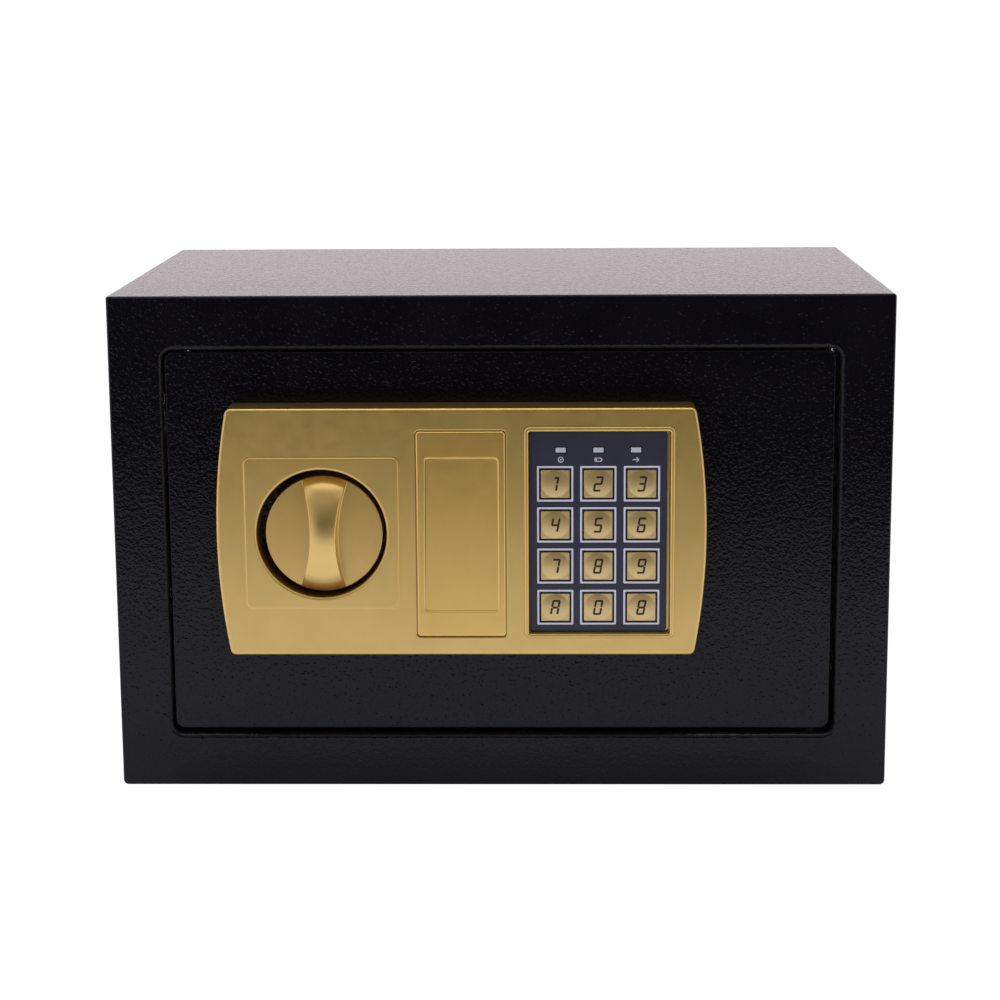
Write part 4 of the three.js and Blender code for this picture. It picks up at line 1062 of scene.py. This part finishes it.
soften("main_board", "door", "circuit_board", [BOARD, CHIP, CHIP, TERMINAL], 0.15, board_pick)
soften("battery_box", "door", "black_plastic", [BLACK_PLASTIC], 0.3)
for i in range(4):
    z = 119 - 23.1 + 15.4 * i
    name = "battery_cell_%d" % (i + 1)
    if i % 2 == 0:
        parts = [("x", 28.4, z, [(6.9, 24.0), (7.1, 24.3), (7.1, 60)], 0), ("x", 28.4, z, [(7.1, 60), (7.1, 72.5), (6.8, 72.8), (2.7, 72.8), (2.7, 74)], 1)]
    else:
        parts = [("x", 28.4, z, [(2.7, 24), (2.7, 25.2), (6.8, 25.2), (7.1, 25.5), (7.1, 38)], 1), ("x", 28.4, z, [(7.1, 38), (7.1, 73.7), (6.9, 74)], 0)]
    turned("cell_%d" % (i + 1), "door", "cell_sleeve", name, [SLEEVE, TURNED_X], *parts, n=48, r=0.15)
soften("battery_cover", "battery_cover", "black_plastic", [BLACK_PLASTIC], 0.35)
turned("reset_cap", "reset_button", "red_plastic", "reset_button", [RED_PLASTIC],
       ("y", 96, 138, [(3, 33), (3, 34.5), (4.6, 34.5), (4.6, 37.6), (3, 37.6), (3, 41.4), (2.4, 42)], 0), n=48, r=0.35)

# anything not replaced keeps its CAD mesh with a proper finish
done = set()
for o in bpy.context.scene.objects:
    done.update(o.get("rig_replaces", []))
for n, o in frame["nodes"].items():
    if n not in done:
        o.data.materials.clear()
        o.data.materials.append(STEEL)

# ---------------------------------------------------------------- floor, world, light, camera
fm = bpy.data.materials.new("floor_white")
fm.use_nodes = True
nt = fm.node_tree
nt.nodes.clear()
out = nt.nodes.new("ShaderNodeOutputMaterial")
em = nt.nodes.new("ShaderNodeEmission")
tint = nt.nodes.new("ShaderNodeMix")
tint.data_type = "RGBA"
tint.inputs[6].default_value = (1.0, 1.03, 1.17, 1)
tint.inputs[7].default_value = (1, 1, 1, 1)
nt.links.new(tint.outputs[2], em.inputs["Color"])
em.inputs["Strength"].default_value = 1.05
place_co = nt.nodes.new("ShaderNodeTexCoord")
place_sep = nt.nodes.new("ShaderNodeSeparateXYZ")
nt.links.new(place_co.outputs["Object"], place_sep.inputs[0])


def fmath(op, a, b=0.0):
    n = nt.nodes.new("ShaderNodeMath")
    n.operation = op
    for sock, v in zip(n.inputs, (a, b)):
        if isinstance(v, (int, float)):
            sock.default_value = v
        else:
            nt.links.new(v, sock)
    return n.outputs[0]


# distance outside the cabinet's footprint, as a painted soft shadow: the floor's glow is dimmed near the cabinet for
# all but camera rays
out_x = fmath("MAXIMUM", fmath("SUBTRACT", fmath("ABSOLUTE", place_sep.outputs["X"]), 0.09), 0.0)
mid_y = P(0, 100, 0).y
out_y = fmath("MAXIMUM", fmath("SUBTRACT", fmath("ABSOLUTE", fmath("SUBTRACT", place_sep.outputs["Y"], mid_y)), 0.1), 0.0)
away = fmath("ADD", fmath("MULTIPLY", out_x, out_x), fmath("MULTIPLY", out_y, out_y))
shadow = fmath("MULTIPLY", fmath("POWER", 2.718, fmath("MULTIPLY", away, -1 / 0.065 ** 2)), 0.55)
seen = nt.nodes.new("ShaderNodeLightPath")
nt.links.new(seen.outputs["Is Camera Ray"], tint.inputs["Factor"])
lit = fmath("MAXIMUM", fmath("SUBTRACT", 1.0, shadow), seen.outputs["Is Camera Ray"])
nt.links.new(fmath("MULTIPLY", lit, 1.05), em.inputs["Strength"])
nt.links.new(em.outputs[0], out.inputs["Surface"])
me = bpy.data.meshes.new("floor")
FLOOR_FRONT = -475.0
corners = [P(-3000, FLOOR_FRONT - 540, 0), P(3000, FLOOR_FRONT + 540, 0), P(3000, 4000, 0), P(-3000, 4000, 0)]
me.from_pydata([c - Vector((0, 0, 0.0004)) for c in corners], [], [(0, 1, 2, 3)])
me.materials.append(fm)
floor = bpy.data.objects.new("floor", me)
bpy.context.scene.collection.objects.link(floor)

world = bpy.data.worlds.new("studio")
bpy.context.scene.world = world
world.use_nodes = True
nt = world.node_tree
nt.nodes.clear()
N = nt.nodes.new
L = nt.links.new
out = N("ShaderNodeOutputWorld")
co = N("ShaderNodeTexCoord")
sep = N("ShaderNodeSeparateXYZ")
L(co.outputs["Generated"], sep.inputs[0])


def wmath(op, a, b=0.0, c=None):
    n = N("ShaderNodeMath")
    n.operation = op
    for s, v in zip(n.inputs, (a, b, c)):
        if v is None:
            continue
        if isinstance(v, (int, float)):
            s.default_value = v
        else:
            L(v, s)
    return n.outputs[0]


def wramp(fac, stops):
    n = N("ShaderNodeValToRGB")
    while len(n.color_ramp.elements) < len(stops):
        n.color_ramp.elements.new(0.5)
    for e, (pos, v) in zip(n.color_ramp.elements, stops):
        e.position = pos
        e.color = tuple(v) + (1,) if isinstance(v, tuple) else (v, v, v, 1)
    L(fac, n.inputs["Fac"])
    return n.outputs["Color"]


# front half: a dark room behind the camera, brighter with height; back half: white
height = wmath("MULTIPLY_ADD", sep.outputs["Z"], 0.5, 0.5)
front_light = wramp(height, [(0.0, 0.008), (0.56, 0.008), (0.63, 0.07), (0.72, 0.50), (0.85, 0.38), (0.93, 0.62), (1.0, 1.2)])
back_light = wramp(height, [(0.0, (1.08, 0.98, 1.01)), (0.53, (1.08, 0.98, 1.01)), (0.57, (0.76, 0.68, 0.70)), (0.64, (0.5, 0.45, 0.465)), (0.8, (0.7, 0.7, 0.7)), (1.0, (0.9, 0.9, 0.9))])
backness = N("ShaderNodeMapRange")
backness.inputs["From Min"].default_value = -0.25
backness.inputs["From Max"].default_value = 0.10
L(sep.outputs["Y"], backness.inputs["Value"])
side = N("ShaderNodeMapRange")
side.inputs["From Min"].default_value = 0.365
side.inputs["From Max"].default_value = 0.62
# the left bank of lights reaches a little further round than the right one
L(wmath("ABSOLUTE", wmath("SUBTRACT", sep.outputs["X"], 0.065)), side.inputs["Value"])
side_mix = N("ShaderNodeMix")
side_mix.data_type = "RGBA"
L(side.outputs["Result"], side_mix.inputs["Factor"])
L(front_light, side_mix.inputs[6])
side_mix.inputs[7].default_value = (0.92, 0.92, 0.92, 1)
blend = N("ShaderNodeMix")
blend.data_type = "RGBA"
L(backness.outputs["Result"], blend.inputs["Factor"])
L(side_mix.outputs[2], blend.inputs[6])
L(back_light, blend.inputs[7])
studio = N("ShaderNodeBackground")
studio.inputs["Strength"].default_value = 1.0
L(blend.outputs[2], studio.inputs["Color"])
white = N("ShaderNodeBackground")
white.inputs["Color"].default_value = (1, 1, 1, 1)
white.inputs["Strength"].default_value = 1.05
path = N("ShaderNodeLightPath")
pick = N("ShaderNodeMixShader")
L(path.outputs["Is Camera Ray"], pick.inputs[0])
L(studio.outputs[0], pick.inputs[1])
L(white.outputs[0], pick.inputs[2])
L(pick.outputs[0], out.inputs["Surface"])


def area(name, centre, size, power, target, colour=(1, 1, 1)):
    d = bpy.data.lights.new(name, "AREA")
    d.shape = "RECTANGLE"
    d.size, d.size_y = size
    d.energy = power
    d.color = colour
    o = bpy.data.objects.new(name, d)
    o.location = centre
    o.rotation_euler = (Vector(target) - Vector(centre)).to_track_quat("-Z", "Y").to_euler()
    bpy.context.scene.collection.objects.link(o)
    return o


area("overhead", (0.0, -0.15, 1.35), (1.3, 0.7), 3.0, (0, -0.05, 0.1))

cam_data = bpy.data.cameras.new("camera")
cam_data.sensor_width = 36.0
cam_data.lens = 2394.0 / 1000.0 * 36.0
cam_data.clip_start = 0.01
cam_data.clip_end = 50
cam = bpy.data.objects.new("camera", cam_data)
pitch, yaw, roll = (math.radians(a) for a in (11.226, -1.277, -0.364))
fw = Vector((math.sin(yaw) * math.cos(pitch), math.cos(yaw) * math.cos(pitch), -math.sin(pitch)))
right = Vector((math.cos(yaw), -math.sin(yaw), 0))
up = right.cross(fw)
r2 = right * math.cos(roll) + up * math.sin(roll)
u2 = -right * math.sin(roll) + up * math.cos(roll)
m = Matrix((r2, u2, -fw)).transposed().to_4x4()
m.translation = P(20.4, -933.7, 303.7)
cam.matrix_world = m
bpy.context.scene.collection.objects.link(cam)
bpy.context.scene.camera = cam

vs = bpy.context.scene.view_settings
vs.view_transform = "Standard"
vs.look = "None"

bpy.context.view_layer.update()
